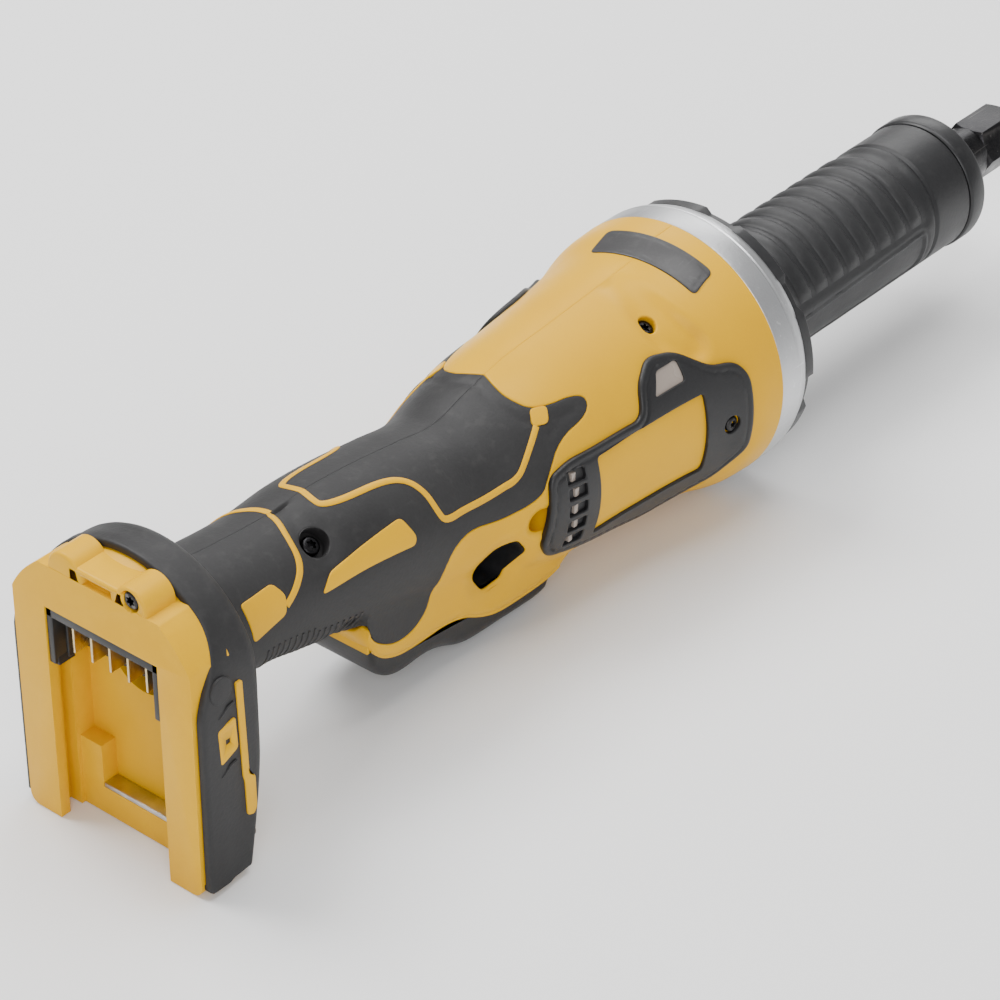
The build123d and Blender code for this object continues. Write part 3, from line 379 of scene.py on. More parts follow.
def carve(piece: Piece, *tools: Piece) -> Piece:
    """Cuts tool solids out of a piece and removes the tools.

    Args:
        piece: The piece, changed in place.
        *tools: The closed solids to cut out of it.

    Returns:
        The same piece.
    """
    for tool in tools:
        cut = piece.modifiers.new("cut", "BOOLEAN")
        cut.operation = "DIFFERENCE"
        cut.solver = "EXACT"
        cut.object = tool
    apply_modifiers(piece)
    for tool in tools:
        bpy.data.objects.remove(tool)
    return piece


def block(low: Sequence[float], high: Sequence[float]) -> Piece:
    """A scratch box that another piece is cut with, from its lowest and highest corners."""
    corners = [(x, y, z) for x in (low[0], high[0]) for y in (low[1], high[1]) for z in (low[2], high[2])]
    faces = [(0, 1, 3, 2), (4, 6, 7, 5), (0, 4, 5, 1), (2, 3, 7, 6), (0, 2, 6, 4), (1, 5, 7, 3)]
    piece = new_object("scratch", corners, faces)
    outwards(piece)
    return piece


class Sheet:
    """A surface of polygons with named fields, which can be cut along their level lines."""

    def __init__(self, points: Points, normals: Points, faces: list, fields: dict[str, Field]) -> None:
        """Keeps the surface's points, outward normals, faces and fields."""
        self.points = points
        self.normals = normals
        self.faces = faces
        self.fields = fields

    @classmethod
    def from_grid(cls, grid: Points, outward: Points) -> "Sheet":
        """A sheet from a grid of points.

        Args:
            grid: Points by row and column.
            outward: Rough outward directions, as many as there are points.

        Returns:
            The sheet, with its faces turned outwards.
        """
        rows, columns = grid.shape[:2]
        across = np.gradient(grid, axis=0)
        along = np.gradient(grid, axis=1)
        normals = np.cross(across, along)
        normals /= np.maximum(np.linalg.norm(normals, axis=2, keepdims=True), 1e-9)
        facing = np.sum(normals * outward) > 0
        if not facing:
            normals = -normals
        faces = []
        for i in range(rows - 1):
            for j in range(columns - 1):
                a, b = i * columns + j, (i + 1) * columns + j
                faces.append([a, b, b + 1, a + 1] if facing else [a, a + 1, b + 1, b])
        return cls(grid.reshape(-1, 3), normals.reshape(-1, 3), faces, {})

    def cut(self, name: str, level: float) -> None:
        """Adds an edge line where a field crosses a level.

        Args:
            name: The field.
            level: The value to follow.
        """
        values = self.fields[name] - level
        values[np.abs(values) < 1e-4] = 1e-4
        signs = (values > 0).tolist()
        crossing: dict[tuple[int, int], int] = {}
        made: list[tuple[int, int, float]] = []
        base = len(self.points)
        faces = []
        for face in self.faces:
            flags = [signs[i] for i in face]
            if all(flags) or not any(flags):
                faces.append(face)
                continue
            above, below = [], []
            for a, b in zip(face, face[1:] + face[:1]):
                (above if signs[a] else below).append(a)
                if signs[a] != signs[b]:
                    key = (min(a, b), max(a, b))
                    if key not in crossing:
                        crossing[key] = base + len(made)
                        made.append((*key, values[key[0]] / (values[key[0]] - values[key[1]])))
                    above.append(crossing[key])
                    below.append(crossing[key])
            faces.extend(part for part in (above, below) if len(part) > 2)
        self.faces = faces
        if not made:
            return
        first, second = (np.array([m[i] for m in made]) for i in (0, 1))
        share = np.array([m[2] for m in made])

        def extended(values: Field) -> Field:
            """Values of the old points, with those of the new points after them."""
            part = share if values.ndim == 1 else share[:, None]
            return np.concatenate([values, values[first] * (1 - part) + values[second] * part])

        self.points, self.normals = extended(self.points), extended(self.normals)
        for key, value in self.fields.items():
            self.fields[key] = extended(value)

    def keep(self, name: str) -> None:
        """Drops every face where a field is negative."""
        values = self.fields[name]
        self.faces = [f for f in self.faces if values[f].mean() > 0]

    def rounded_to(self, name: str, radius: float) -> None:
        """Cuts the sheet to where a field is positive, with lines for a rounded edge.

        Args:
            name: The field of distances in from the edge.
            radius: The radius of the rounding.
        """
        for share in (0.0, 0.12, 0.4, 1.0):
            self.cut(name, share * radius)
        self.keep(name)

    def solid(self, name: str, lift: Field, thickness: float) -> Piece:
        """The sheet as a closed thin solid.

        Args:
            name: The piece's name.
            lift: How far each point stands above the surface.
            thickness: How far the inner face lies below it.

        Returns:
            The new object.
        """
        used = sorted({i for f in self.faces for i in f})
        place = {old: new for new, old in enumerate(used)}
        outer = self.points[used] + self.normals[used] * lift[used][:, None]
        inner = self.points[used] - self.normals[used] * thickness
        count = len(used)
        faces = [[place[i] for i in f] for f in self.faces]
        edges: dict[tuple[int, int], int] = {}
        for face in faces:
            for a, b in zip(face, face[1:] + face[:1]):
                edges[(a, b)] = 1
        rim = [(b, a, a + count, b + count) for a, b in edges if (b, a) not in edges]
        back = [[i + count for i in reversed(f)] for f in faces]
        return new_object(name, np.vstack([outer, inner]), faces + back + rim)


# ------------------------------------------------------------------------------ repeated pieces
class Repeater:
    """Geometry Nodes trees that repeat a template or run a profile along paths."""

    @staticmethod
    def _socket(tree: bpy.types.NodeTree, name: str, kind: str, output: bool = False) -> str:
        """Adds a socket to a tree's interface and returns its identifier."""
        side = "OUTPUT" if output else "INPUT"
        return tree.interface.new_socket(name=name, in_out=side, socket_type=kind).identifier

    @classmethod
    def _tree(cls, name: str, inputs: dict[str, str]) -> tuple:
        """A new tree that takes geometry, other inputs and a finish, and gives pieces.

        Args:
            name: The tree's name.
            inputs: The kinds of its other inputs by name.

        Returns:
            The tree, its input node and the identifiers of its inputs by name.
        """
        tree = bpy.data.node_groups.new(name, "GeometryNodeTree")
        cls._socket(tree, "Start", "NodeSocketGeometry")
        kinds = {**inputs, "Finish": "NodeSocketMaterial"}
        names = {label: cls._socket(tree, label, kind) for label, kind in kinds.items()}
        cls._socket(tree, "Pieces", "NodeSocketGeometry", output=True)
        return tree, tree.nodes.new("NodeGroupInput"), names

    @staticmethod
    def _made(
        piece: Piece, tree: bpy.types.NodeTree, given: bpy.types.Node, shape: object, values: dict
    ) -> Piece:
        """Makes a tree's instances real and dresses them, and keeps the result as a plain mesh.

        Args:
            piece: The piece that carries the tree.
            tree: The tree.
            given: Its input node.
            shape: The socket that gives the instances.
            values: The inputs' values by identifier.

        Returns:
            The same piece.
        """
        real = tree.nodes.new("GeometryNodeRealizeInstances")
        dress = tree.nodes.new("GeometryNodeSetMaterial")
        result = tree.nodes.new("NodeGroupOutput")
        tree.links.new(shape, real.inputs["Geometry"])
        tree.links.new(real.outputs["Geometry"], dress.inputs["Geometry"])
        tree.links.new(given.outputs["Finish"], dress.inputs["Material"])
        tree.links.new(dress.outputs["Geometry"], result.inputs["Pieces"])
        modifier = piece.modifiers.new("repeat", "NODES")
        modifier.node_group = tree
        for identifier, value in values.items():
            modifier[identifier] = value
        apply_modifiers(piece)
        piece.data.shade_smooth()
        piece.data.set_sharp_from_angle(angle=math.radians(38))
        return piece

    @classmethod
    def on_points(
        cls,
        name: str,
        template: Piece,
        points: Sequence[tuple[float, float, float]],
        turns: Sequence[tuple[float, float, float]],
        material: bpy.types.Material,
    ) -> Piece:
        """Copies of a template at given points and turns.

        Args:
            name: The piece's name.
            template: The shape to repeat, removed afterwards.
            points: Where the copies go.
            turns: The rotation of each copy, as XYZ angles in radians.
            material: The finish of the result.

        Returns:
            The new object.
        """
        piece = new_object(name, points, [])
        turn = piece.data.attributes.new("turn", "FLOAT_VECTOR", "POINT")
        turn.data.foreach_set("vector", np.array(turns, np.float32).ravel())
        inputs = {"Template": "NodeSocketObject", "Size": "NodeSocketFloat"}
        tree, given, names = cls._tree(name + "_copies", inputs)
        nodes, links = tree.nodes, tree.links
        shape = nodes.new("GeometryNodeObjectInfo")
        turned = nodes.new("GeometryNodeInputNamedAttribute")
        turned.data_type = "FLOAT_VECTOR"
        turned.inputs["Name"].default_value = "turn"
        copies = nodes.new("GeometryNodeInstanceOnPoints")
        links.new(given.outputs["Template"], shape.inputs["Object"])
        links.new(given.outputs["Start"], copies.inputs["Points"])
        links.new(shape.outputs["Geometry"], copies.inputs["Instance"])
        links.new(turned.outputs["Attribute"], copies.inputs["Rotation"])
        links.new(given.outputs["Size"], copies.inputs["Scale"])
        values = {names["Template"]: template, names["Size"]: 1.0, names["Finish"]: material}
        cls._made(piece, tree, given, copies.outputs["Instances"], values)
        bpy.data.objects.remove(template)
        return piece

    @classmethod
    def in_line(
        cls,
        name: str,
        template: Piece,
        count: int,
        step: tuple[float, float, float],
        material: bpy.types.Material,
    ) -> Piece:
        """Copies of a template at equal steps along a line.

        Args:
            name: The piece's name.
            template: The shape to repeat, in its first place; removed afterwards.
            count: How many copies there are.
            step: From one copy to the next.
            material: The finish of the result.

        Returns:
            The new object.
        """
        piece = new_object(name, [(0, 0, 0)], [])
        inputs = {"Template": "NodeSocketObject", "Count": "NodeSocketInt", "Step": "NodeSocketVector"}
        tree, given, names = cls._tree(name + "_row", inputs)
        nodes, links = tree.nodes, tree.links
        shape = nodes.new("GeometryNodeObjectInfo")
        line = nodes.new("GeometryNodeMeshLine")
        copies = nodes.new("GeometryNodeInstanceOnPoints")
        links.new(given.outputs["Template"], shape.inputs["Object"])
        links.new(given.outputs["Count"], line.inputs["Count"])
        links.new(given.outputs["Step"], line.inputs["Offset"])
        links.new(line.outputs["Mesh"], copies.inputs["Points"])
        links.new(shape.outputs["Geometry"], copies.inputs["Instance"])
        values = {
            names["Template"]: template,
            names["Count"]: count,
            names["Step"]: [v * MM for v in step],
            names["Finish"]: material,
        }
        cls._made(piece, tree, given, copies.outputs["Instances"], values)
        bpy.data.objects.remove(template)
        return piece

    @classmethod
    def along_paths(
        cls, name: str, paths: Sequence[Points], radius: float, material: bpy.types.Material
    ) -> Piece:
        """Round beads along paths.

        Args:
            name: The piece's name.
            paths: The runs of points to follow.
            radius: The radius of the bead.
            material: The finish of the result.

        Returns:
            The new object.
        """
        points = np.vstack(paths)
        edges, start = [], 0
        for path in paths:
            edges.extend((start + i, start + i + 1) for i in range(len(path) - 1))
            start += len(path)
        mesh = bpy.data.meshes.new(name)
        mesh.from_pydata((points * MM).tolist(), edges, [])
        piece = bpy.data.objects.new(name, mesh)
        bpy.context.scene.collection.objects.link(piece)
        tree, given, names = cls._tree(
            name + "_beads", {"Radius": "NodeSocketFloat", "Sides": "NodeSocketInt"}
        )
        nodes, links = tree.nodes, tree.links
        curve = nodes.new("GeometryNodeMeshToCurve")
        ring = nodes.new("GeometryNodeCurvePrimitiveCircle")
        bead = nodes.new("GeometryNodeCurveToMesh")
        bead.inputs["Fill Caps"].default_value = True
        links.new(given.outputs["Start"], curve.inputs["Mesh"])
        links.new(given.outputs["Radius"], ring.inputs["Radius"])
        links.new(given.outputs["Sides"], ring.inputs["Resolution"])
        links.new(curve.outputs["Curve"], bead.inputs["Curve"])
        links.new(ring.outputs["Curve"], bead.inputs["Profile Curve"])
        values = {names["Radius"]: radius * MM, names["Sides"]: BEAD_SIDES, names["Finish"]: material}
        return cls._made(piece, tree, given, bead.outputs["Mesh"], values)


# ------------------------------------------------------------------------------ finishes
class Effects:
    """The shader node groups that several finishes share, each built once."""

    @classmethod
    def _tree(cls, name: str, inputs: Sequence[tuple[str, float]], outputs: Sequence[str]) -> tuple:
        """A new shader group with float inputs and outputs, and its input and output nodes."""
        tree = bpy.data.node_groups.new(name, "ShaderNodeTree")
        for label, value in inputs:
            socket = tree.interface.new_socket(name=label, in_out="INPUT", socket_type="NodeSocketFloat")
            socket.default_value = value
        for label in outputs:
            tree.interface.new_socket(name=label, in_out="OUTPUT", socket_type="NodeSocketFloat")
        given = tree.nodes.new("NodeGroupInput")
        result = tree.nodes.new("NodeGroupOutput")
        return tree, given, result

    @staticmethod
    def _math(
        tree: bpy.types.NodeTree, operation: str, first: object, second: object = None, clamp: bool = False
    ):
        """One math node fed by sockets or numbers, returned as its output socket."""
        node = tree.nodes.new("ShaderNodeMath")
        node.operation = operation
        node.use_clamp = clamp
        for index, value in enumerate((first, second)):
            if value is None:
                continue
            if isinstance(value, (int, float)):
                node.inputs[index].default_value = value
            else:
                tree.links.new(value, node.inputs[index])
        return node.outputs[0]

    @staticmethod
    def _ramp(tree: bpy.types.NodeTree, value: object, low: float, high: float):
        """A smooth rise from 0 at low to 1 at high, returned as its output socket."""
        node = tree.nodes.new("ShaderNodeMapRange")
        node.interpolation_type = "SMOOTHSTEP"
        node.inputs["From Min"].default_value = low
        node.inputs["From Max"].default_value = high
        tree.links.new(value, node.inputs["Value"])
        return node.outputs["Result"]

    @staticmethod
    def _noise(tree: bpy.types.NodeTree, scale: float, detail: float, stretch: Sequence[float] = (1, 1, 1)):
        """A noise pattern on Object coordinates, returned as its factor socket and node."""
        where = tree.nodes.new("ShaderNodeTexCoord")
        turn = tree.nodes.new("ShaderNodeMapping")
        turn.inputs["Scale"].default_value = stretch
        noise = tree.nodes.new("ShaderNodeTexNoise")
        noise.inputs["Scale"].default_value = scale
        noise.inputs["Detail"].default_value = detail
        tree.links.new(where.outputs["Object"], turn.inputs["Vector"])
        tree.links.new(turn.outputs["Vector"], noise.inputs["Vector"])
        return noise.outputs["Fac"], noise

    @classmethod
    @cache
    def grain(cls) -> bpy.types.NodeTree:
        """Fine spark-eroded mould grain: a height and a mask of its peaks."""
        tree, given, result = cls._tree(
            "mould_grain", [("Scale", 1500.0), ("Depth", 1.0)], ["Height", "Peaks"]
        )
        fine, fine_node = cls._noise(tree, 1500.0, 3.0)
        tree.links.new(given.outputs["Scale"], fine_node.inputs["Scale"])
        cells = tree.nodes.new("ShaderNodeTexVoronoi")
        where = tree.nodes.new("ShaderNodeTexCoord")
        tree.links.new(where.outputs["Object"], cells.inputs["Vector"])
        tree.links.new(cls._math(tree, "MULTIPLY", given.outputs["Scale"], 0.55), cells.inputs["Scale"])
        rough = cls._math(tree, "ADD", fine, cls._math(tree, "MULTIPLY", cells.outputs["Distance"], 0.5))
        tree.links.new(cls._math(tree, "MULTIPLY", rough, given.outputs["Depth"]), result.inputs["Height"])
        tree.links.new(cls._ramp(tree, rough, 0.55, 0.95), result.inputs["Peaks"])
        return tree

    @classmethod
    @cache
    def edge_wear(cls) -> bpy.types.NodeTree:
        """Rubbed edges: a mask that is strong where a surface turns outwards sharply."""
        tree, given, result = cls._tree("edge_wear", [("Amount", 0.5), ("Scale", 120.0)], ["Wear"])
        shape = tree.nodes.new("ShaderNodeNewGeometry")
        edge = cls._ramp(tree, shape.outputs["Pointiness"], 0.53, 0.62)
        broken, broken_node = cls._noise(tree, 120.0, 6.0)
        tree.links.new(given.outputs["Scale"], broken_node.inputs["Scale"])
        patchy = cls._ramp(tree, broken, 0.42, 0.68)
        worn = cls._math(tree, "MULTIPLY", edge, patchy)
        tree.links.new(
            cls._math(tree, "MULTIPLY", worn, given.outputs["Amount"], clamp=True), result.inputs["Wear"]
        )
        return tree

    @classmethod
    @cache
    def dust(cls) -> bpy.types.NodeTree:
        """Handling film: broad soft blotches and a settling of dust on upward faces."""
        tree, given, result = cls._tree("handling_film", [("Amount", 0.3)], ["Blotches", "Dust"])
        broad, _ = cls._noise(tree, 22.0, 4.0)
        fine, _ = cls._noise(tree, 260.0, 5.0)
        shape = tree.nodes.new("ShaderNodeNewGeometry")
        parts = tree.nodes.new("ShaderNodeSeparateXYZ")
        tree.links.new(shape.outputs["Normal"], parts.inputs["Vector"])
        up = cls._ramp(tree, parts.outputs["Z"], 0.1, 1.0)
        specks = cls._math(tree, "MULTIPLY", cls._ramp(tree, fine, 0.5, 0.75), up)
        tree.links.new(cls._ramp(tree, broad, 0.35, 0.7), result.inputs["Blotches"])
        tree.links.new(
            cls._math(tree, "MULTIPLY", specks, given.outputs["Amount"], clamp=True), result.inputs["Dust"]
        )
        return tree

    @classmethod
    @cache
    def scratches(cls) -> bpy.types.NodeTree:
        """Fine stray scratches: a mask of thin broken lines in two directions."""
        tree, given, result = cls._tree("fine_scratches", [("Amount", 0.3)], ["Lines"])
        first, _ = cls._noise(tree, 90.0, 8.0, (0.35, 9.0, 7.0))
        second, _ = cls._noise(tree, 70.0, 8.0, (6.0, 0.5, 8.0))
        one = cls._ramp(tree, first, 0.655, 0.69)
        two = cls._ramp(tree, second, 0.66, 0.70)
        both = cls._math(tree, "MAXIMUM", one, two)
        tree.links.new(
            cls._math(tree, "MULTIPLY", both, given.outputs["Amount"], clamp=True), result.inputs["Lines"]
        )
        return tree

    @classmethod
    @cache
    def lathe_marks(cls) -> bpy.types.NodeTree:
        """Turning marks: fine rings round the spindle, as a height."""
        tree, given, result = cls._tree("turning_marks", [("Scale", 2500.0)], ["Height"])
        where = tree.nodes.new("ShaderNodeTexCoord")
        parts = tree.nodes.new("ShaderNodeSeparateXYZ")
        tree.links.new(where.outputs["Object"], parts.inputs["Vector"])
        rings = tree.nodes.new("ShaderNodeTexNoise")
        rings.noise_dimensions = "1D"
        rings.inputs["Detail"].default_value = 4.0
        tree.links.new(parts.outputs["X"], rings.inputs["W"])
        tree.links.new(given.outputs["Scale"], rings.inputs["Scale"])
        tree.links.new(rings.outputs["Fac"], result.inputs["Height"])
        return tree


class Metalness(Enum):
    """What a finish is under its colour."""

    PLASTIC = 0.0
    METAL = 1.0


@dataclass(frozen=True)
class Finish:
    """A worn industrial finish and the numbers that tell one from another."""

    name: str
    slot: str
    colour: tuple[float, float, float]
    shade: tuple[float, float, float]
    worn: tuple[float, float, float]
    rough: float
    rough_spread: float = 0.12
    grain: float = 1500.0
    depth: float = 0.25
    wear: float = 0.4
    dust: float = 0.25
    scratches: float = 0.25
    kind: Metalness = Metalness.PLASTIC
    coat: float = 0.0
    turned: bool = False
    gloss: float = 0.5

    def material(self) -> bpy.types.Material:
        """The finish as a material, built on first use.

        Returns:
            The material.
        """
        label = f"{self.name}_finish"
        made = bpy.data.materials.get(label)
        if made:
            return made
        made = bpy.data.materials.new(label)
        made.use_nodes = True
        tree = made.node_tree
        shader = tree.nodes["Principled BSDF"]
        grain = self._group(tree, Effects.grain(), {"Scale": self.grain, "Depth": 1.0})
        wear = self._group(tree, Effects.edge_wear(), {"Amount": self.wear, "Scale": 140.0})
        film = self._group(tree, Effects.dust(), {"Amount": self.dust})
        lines = self._group(tree, Effects.scratches(), {"Amount": self.scratches})
        colour = self._mix(tree, film.outputs["Blotches"], self.colour, self.shade)
        colour = self._mix(tree, self._scaled(tree, grain.outputs["Peaks"], 0.05), colour, self.worn)
        colour = self._mix(tree, wear.outputs["Wear"], colour, self.worn)
        colour = self._mix(tree, self._scaled(tree, lines.outputs["Lines"], 0.5), colour, self.worn)
        colour = self._mix(tree, self._scaled(tree, film.outputs["Dust"], 0.12), colour, (0.52, 0.5, 0.47))
        tree.links.new(colour, shader.inputs["Base Color"])
        rough = tree.nodes.new("ShaderNodeMath")
        rough.operation = "MULTIPLY_ADD"
        rough.use_clamp = True
        rough.inputs[1].default_value = self.rough_spread
        rough.inputs[2].default_value = self.rough - 0.5 * self.rough_spread
        tree.links.new(film.outputs["Blotches"], rough.inputs[0])
        polish = tree.nodes.new("ShaderNodeMath")
        polish.operation = "MULTIPLY_ADD"
        polish.use_clamp = True
        polish.inputs[1].default_value = -0.12
        tree.links.new(wear.outputs["Wear"], polish.inputs[0])
        tree.links.new(rough.outputs[0], polish.inputs[2])
        tree.links.new(polish.outputs[0], shader.inputs["Roughness"])
        shader.inputs["Metallic"].default_value = self.kind.value
        shader.inputs["Coat Weight"].default_value = self.coat
        shader.inputs["Specular IOR Level"].default_value = self.gloss
        height = grain.outputs["Height"]
        if self.turned:
            marks = self._group(tree, Effects.lathe_marks(), {"Scale": 2600.0})
            both = tree.nodes.new("ShaderNodeMath")
            both.operation = "ADD"
            tree.links.new(height, both.inputs[0])
            tree.links.new(marks.outputs["Height"], both.inputs[1])
            height = both.outputs[0]
        dented = tree.nodes.new("ShaderNodeMath")
        dented.operation = "SUBTRACT"
        tree.links.new(height, dented.inputs[0])
        tree.links.new(lines.outputs["Lines"], dented.inputs[1])
        bump = tree.nodes.new("ShaderNodeBump")
        bump.inputs["Strength"].default_value = self.depth
        bump.inputs["Distance"].default_value = 0.00012
        tree.links.new(dented.outputs[0], bump.inputs["Height"])
        tree.links.new(bump.outputs["Normal"], shader.inputs["Normal"])
        return made

    @staticmethod
    def _group(
        tree: bpy.types.NodeTree, effect: bpy.types.NodeTree, values: dict[str, float]
    ) -> bpy.types.Node:
        """Places a shared effect in a material with its own values."""
        node = tree.nodes.new("ShaderNodeGroup")
        node.node_tree = effect
        for label, value in values.items():
            node.inputs[label].default_value = value
        return node

    @staticmethod
    def _scaled(tree: bpy.types.NodeTree, socket: bpy.types.NodeSocket, share: float) -> bpy.types.NodeSocket:
        """A mask turned down to a share of itself."""
        node = tree.nodes.new("ShaderNodeMath")
        node.operation = "MULTIPLY"
        node.inputs[1].default_value = share
        tree.links.new(socket, node.inputs[0])
        return node.outputs[0]

    @staticmethod
    def _mix(tree: bpy.types.NodeTree, mask: bpy.types.NodeSocket, first: object, second: object):
        """A colour mix by a mask, from two colours or sockets, returned as its output socket."""
        node = tree.nodes.new("ShaderNodeMix")
        node.data_type = "RGBA"
        tree.links.new(mask, node.inputs["Factor"])
        for socket, value in ((node.inputs[6], first), (node.inputs[7], second)):
            if isinstance(value, tuple):
                socket.default_value = (*value, 1.0)
            else:
                tree.links.new(value, socket)
        return node.outputs[2]


YELLOW = Finish(
    "yellow_nylon", "yellow_housing",
    colour=(0.70, 0.375, 0.0),
    shade=(0.67, 0.35, 0.0),
    worn=(0.82, 0.47, 0.005),
    rough=0.4, grain=1900, depth=0.12, wear=0.15, dust=0.01, scratches=0.06, gloss=0.14,
)
RUBBER = Finish(
    "black_rubber", "black_rubber",
    colour=(0.016, 0.0155, 0.016),
    shade=(0.022, 0.0215, 0.022),
    worn=(0.05, 0.049, 0.05),
    rough=0.62, rough_spread=0.14, grain=1300, depth=0.45, dust=0.15, scratches=0.1, gloss=0.35,
)
BLACK = Finish(
    "black_nylon", "black_plastic",
    colour=(0.009, 0.009, 0.010),
    shade=(0.013, 0.013, 0.014),
    worn=(0.045, 0.045, 0.047),
    rough=0.45, rough_spread=0.14, grain=1700, depth=0.2, dust=0.12, scratches=0.15, gloss=0.4,
)
SLEEVE = Finish(
    "nose_rubber", "black_rubber",
    colour=(0.010, 0.010, 0.011),
    shade=(0.014, 0.014, 0.015),
    worn=(0.04, 0.04, 0.042),
    rough=0.5, grain=1200, depth=0.35, wear=0.3, dust=0.12, scratches=0.1, gloss=0.4,
)
GREY_PLATE = Finish(
    "grey_plate", "grey_plate",
    colour=(0.028, 0.027, 0.028),
    shade=(0.036, 0.035, 0.036),
    worn=(0.1, 0.1, 0.1),
    rough=0.45, rough_spread=0.1, grain=2200, depth=0.1, wear=0.3, dust=0.2, scratches=0.3,
)
GREY_LENS = Finish(
    "grey_lens", "grey_lens",
    colour=(0.26, 0.22, 0.19),
    shade=(0.32, 0.27, 0.23),
    worn=(0.45, 0.4, 0.36),
    rough=0.25, rough_spread=0.1, grain=2200, depth=0.05, wear=0.2, dust=0.2, scratches=0.2,
)
INTAKE = Finish(
    "dark_intake", "grey_lens",
    colour=(0.012, 0.012, 0.013),
    shade=(0.02, 0.02, 0.02),
    worn=(0.1, 0.1, 0.1),
    rough=0.6, rough_spread=0.1, depth=0.3, wear=0.3, dust=0.5, scratches=0.2,
)
OXIDE = Finish(
    "black_oxide", "black_steel",
    colour=(0.018, 0.018, 0.02),
    shade=(0.03, 0.029, 0.03),
    worn=(0.22, 0.21, 0.2),
    rough=0.38, rough_spread=0.14, grain=2400, depth=0.2, wear=0.6, dust=0.1, scratches=0.5,
    kind=Metalness.METAL, turned=True,
)
STEEL = Finish(
    "ground_steel", "bright_steel",
    colour=(0.55, 0.55, 0.56),
    shade=(0.46, 0.46, 0.47),
    worn=(0.75, 0.75, 0.76),
    rough=0.3, rough_spread=0.16, grain=2600, depth=0.15, wear=0.5, dust=0.05, scratches=0.6,
    kind=Metalness.METAL, turned=True,
)
CASTING = Finish(
    "cast_aluminium", "ring_aluminium",
    colour=(0.56, 0.565, 0.575),
    shade=(0.48, 0.485, 0.495),
    worn=(0.8, 0.8, 0.81),
    rough=0.42, rough_spread=0.16, depth=0.3, wear=0.7, dust=0.15, scratches=0.6, kind=Metalness.METAL,
)
NICKEL = Finish(
    "nickel_plate", "nickel",
    colour=(0.6, 0.58, 0.54),
    shade=(0.52, 0.5, 0.46),
    worn=(0.8, 0.78, 0.74),
    rough=0.25, rough_spread=0.1, grain=2400, depth=0.1, wear=0.3, dust=0.05, scratches=0.3,
    kind=Metalness.METAL,
)
BRASS = Finish(
    "tinned_brass", "terminal_metal",
    colour=(0.62, 0.5, 0.28),
    shade=(0.5, 0.4, 0.22),
    worn=(0.8, 0.7, 0.45),
    rough=0.28, grain=2400, depth=0.1, dust=0.05, scratches=0.5, kind=Metalness.METAL,
)
COPPER = Finish(
    "enamelled_copper", "copper",
    colour=(0.55, 0.2, 0.07),
    shade=(0.42, 0.14, 0.05),
    worn=(0.75, 0.4, 0.2),
    rough=0.3, rough_spread=0.1, grain=900, depth=0.6, wear=0.3, dust=0.05, scratches=0.1,
    kind=Metalness.METAL, coat=0.4,
)
POTTING = Finish(
    "potting", "potting",
    colour=(0.03, 0.03, 0.035),
    shade=(0.04, 0.04, 0.05),
    worn=(0.1, 0.1, 0.1),
    rough=0.35, rough_spread=0.1, grain=400, depth=0.3, wear=0.2, dust=0.3, scratches=0.1,
)
BOARD = Finish(
    "circuit_board", "board_green",
    colour=(0.02, 0.16, 0.05),
    shade=(0.015, 0.12, 0.04),
    worn=(0.2, 0.4, 0.2),
    rough=0.35, rough_spread=0.1, grain=1800, depth=0.2, wear=0.3, dust=0.1, scratches=0.2,
)
RED_LEAD = Finish(
    "red_silicone", "red_lead",
    colour=(0.5, 0.012, 0.01),
    shade=(0.4, 0.01, 0.01),
    worn=(0.7, 0.1, 0.08),
    rough=0.5, rough_spread=0.1, grain=1600, depth=0.2, wear=0.2, dust=0.2, scratches=0.1,
)
BLACK_LEAD = Finish(
    "black_silicone", "lead_black",
    colour=(0.02, 0.02, 0.02),
    shade=(0.03, 0.03, 0.03),
    worn=(0.1, 0.1, 0.1),
    rough=0.5, rough_spread=0.1, grain=1600, depth=0.2, wear=0.2, dust=0.2, scratches=0.1,
)
RED_PLUNGER = Finish(
    "red_acetal", "red_plunger",
    colour=(0.42, 0.01, 0.01),
    shade=(0.36, 0.01, 0.01),
    worn=(0.6, 0.1, 0.1),
    rough=0.3, rough_spread=0.1, grain=2200, depth=0.1, wear=0.3, dust=0.1, scratches=0.2,
)

SLOT_FINISHES = {
    finish.slot: finish
    for finish in (
        YELLOW, RUBBER, BLACK, GREY_PLATE, GREY_LENS, OXIDE, STEEL, NICKEL,
        BRASS, CASTING, COPPER, POTTING, BOARD, RED_LEAD, BLACK_LEAD, RED_PLUNGER,
    )
}


def finished(
    piece: Piece, finish: Finish, *nodes: str, body: str = HOUSING, keep_material: bool = False
) -> Piece:
    """Dresses a piece, lets it ride on a body and hides the CAD nodes it stands for.

    Args:
        piece: The piece.
        finish: Its finish.
        *nodes: The CAD nodes it stands for.
        body: The CAD body it rides on.
        keep_material: Whether the piece already has its finish.

    Returns:
        The same piece.
    """
    if not keep_material:
        piece.data.materials.clear()
        piece.data.materials.append(finish.material())
    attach(piece, body)
    if nodes:
        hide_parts(*nodes)
    LOG.info("%s: %d faces on %s", piece.name, len(piece.data.polygons), body)
    return piece


# ------------------------------------------------------------------------------ the body's surface
@dataclass(frozen=True)
class Station:
    """A cross-section of the housing: its place, its rise and its half sizes."""

    place: float
    rise: float
    half_height: float
    half_width: float


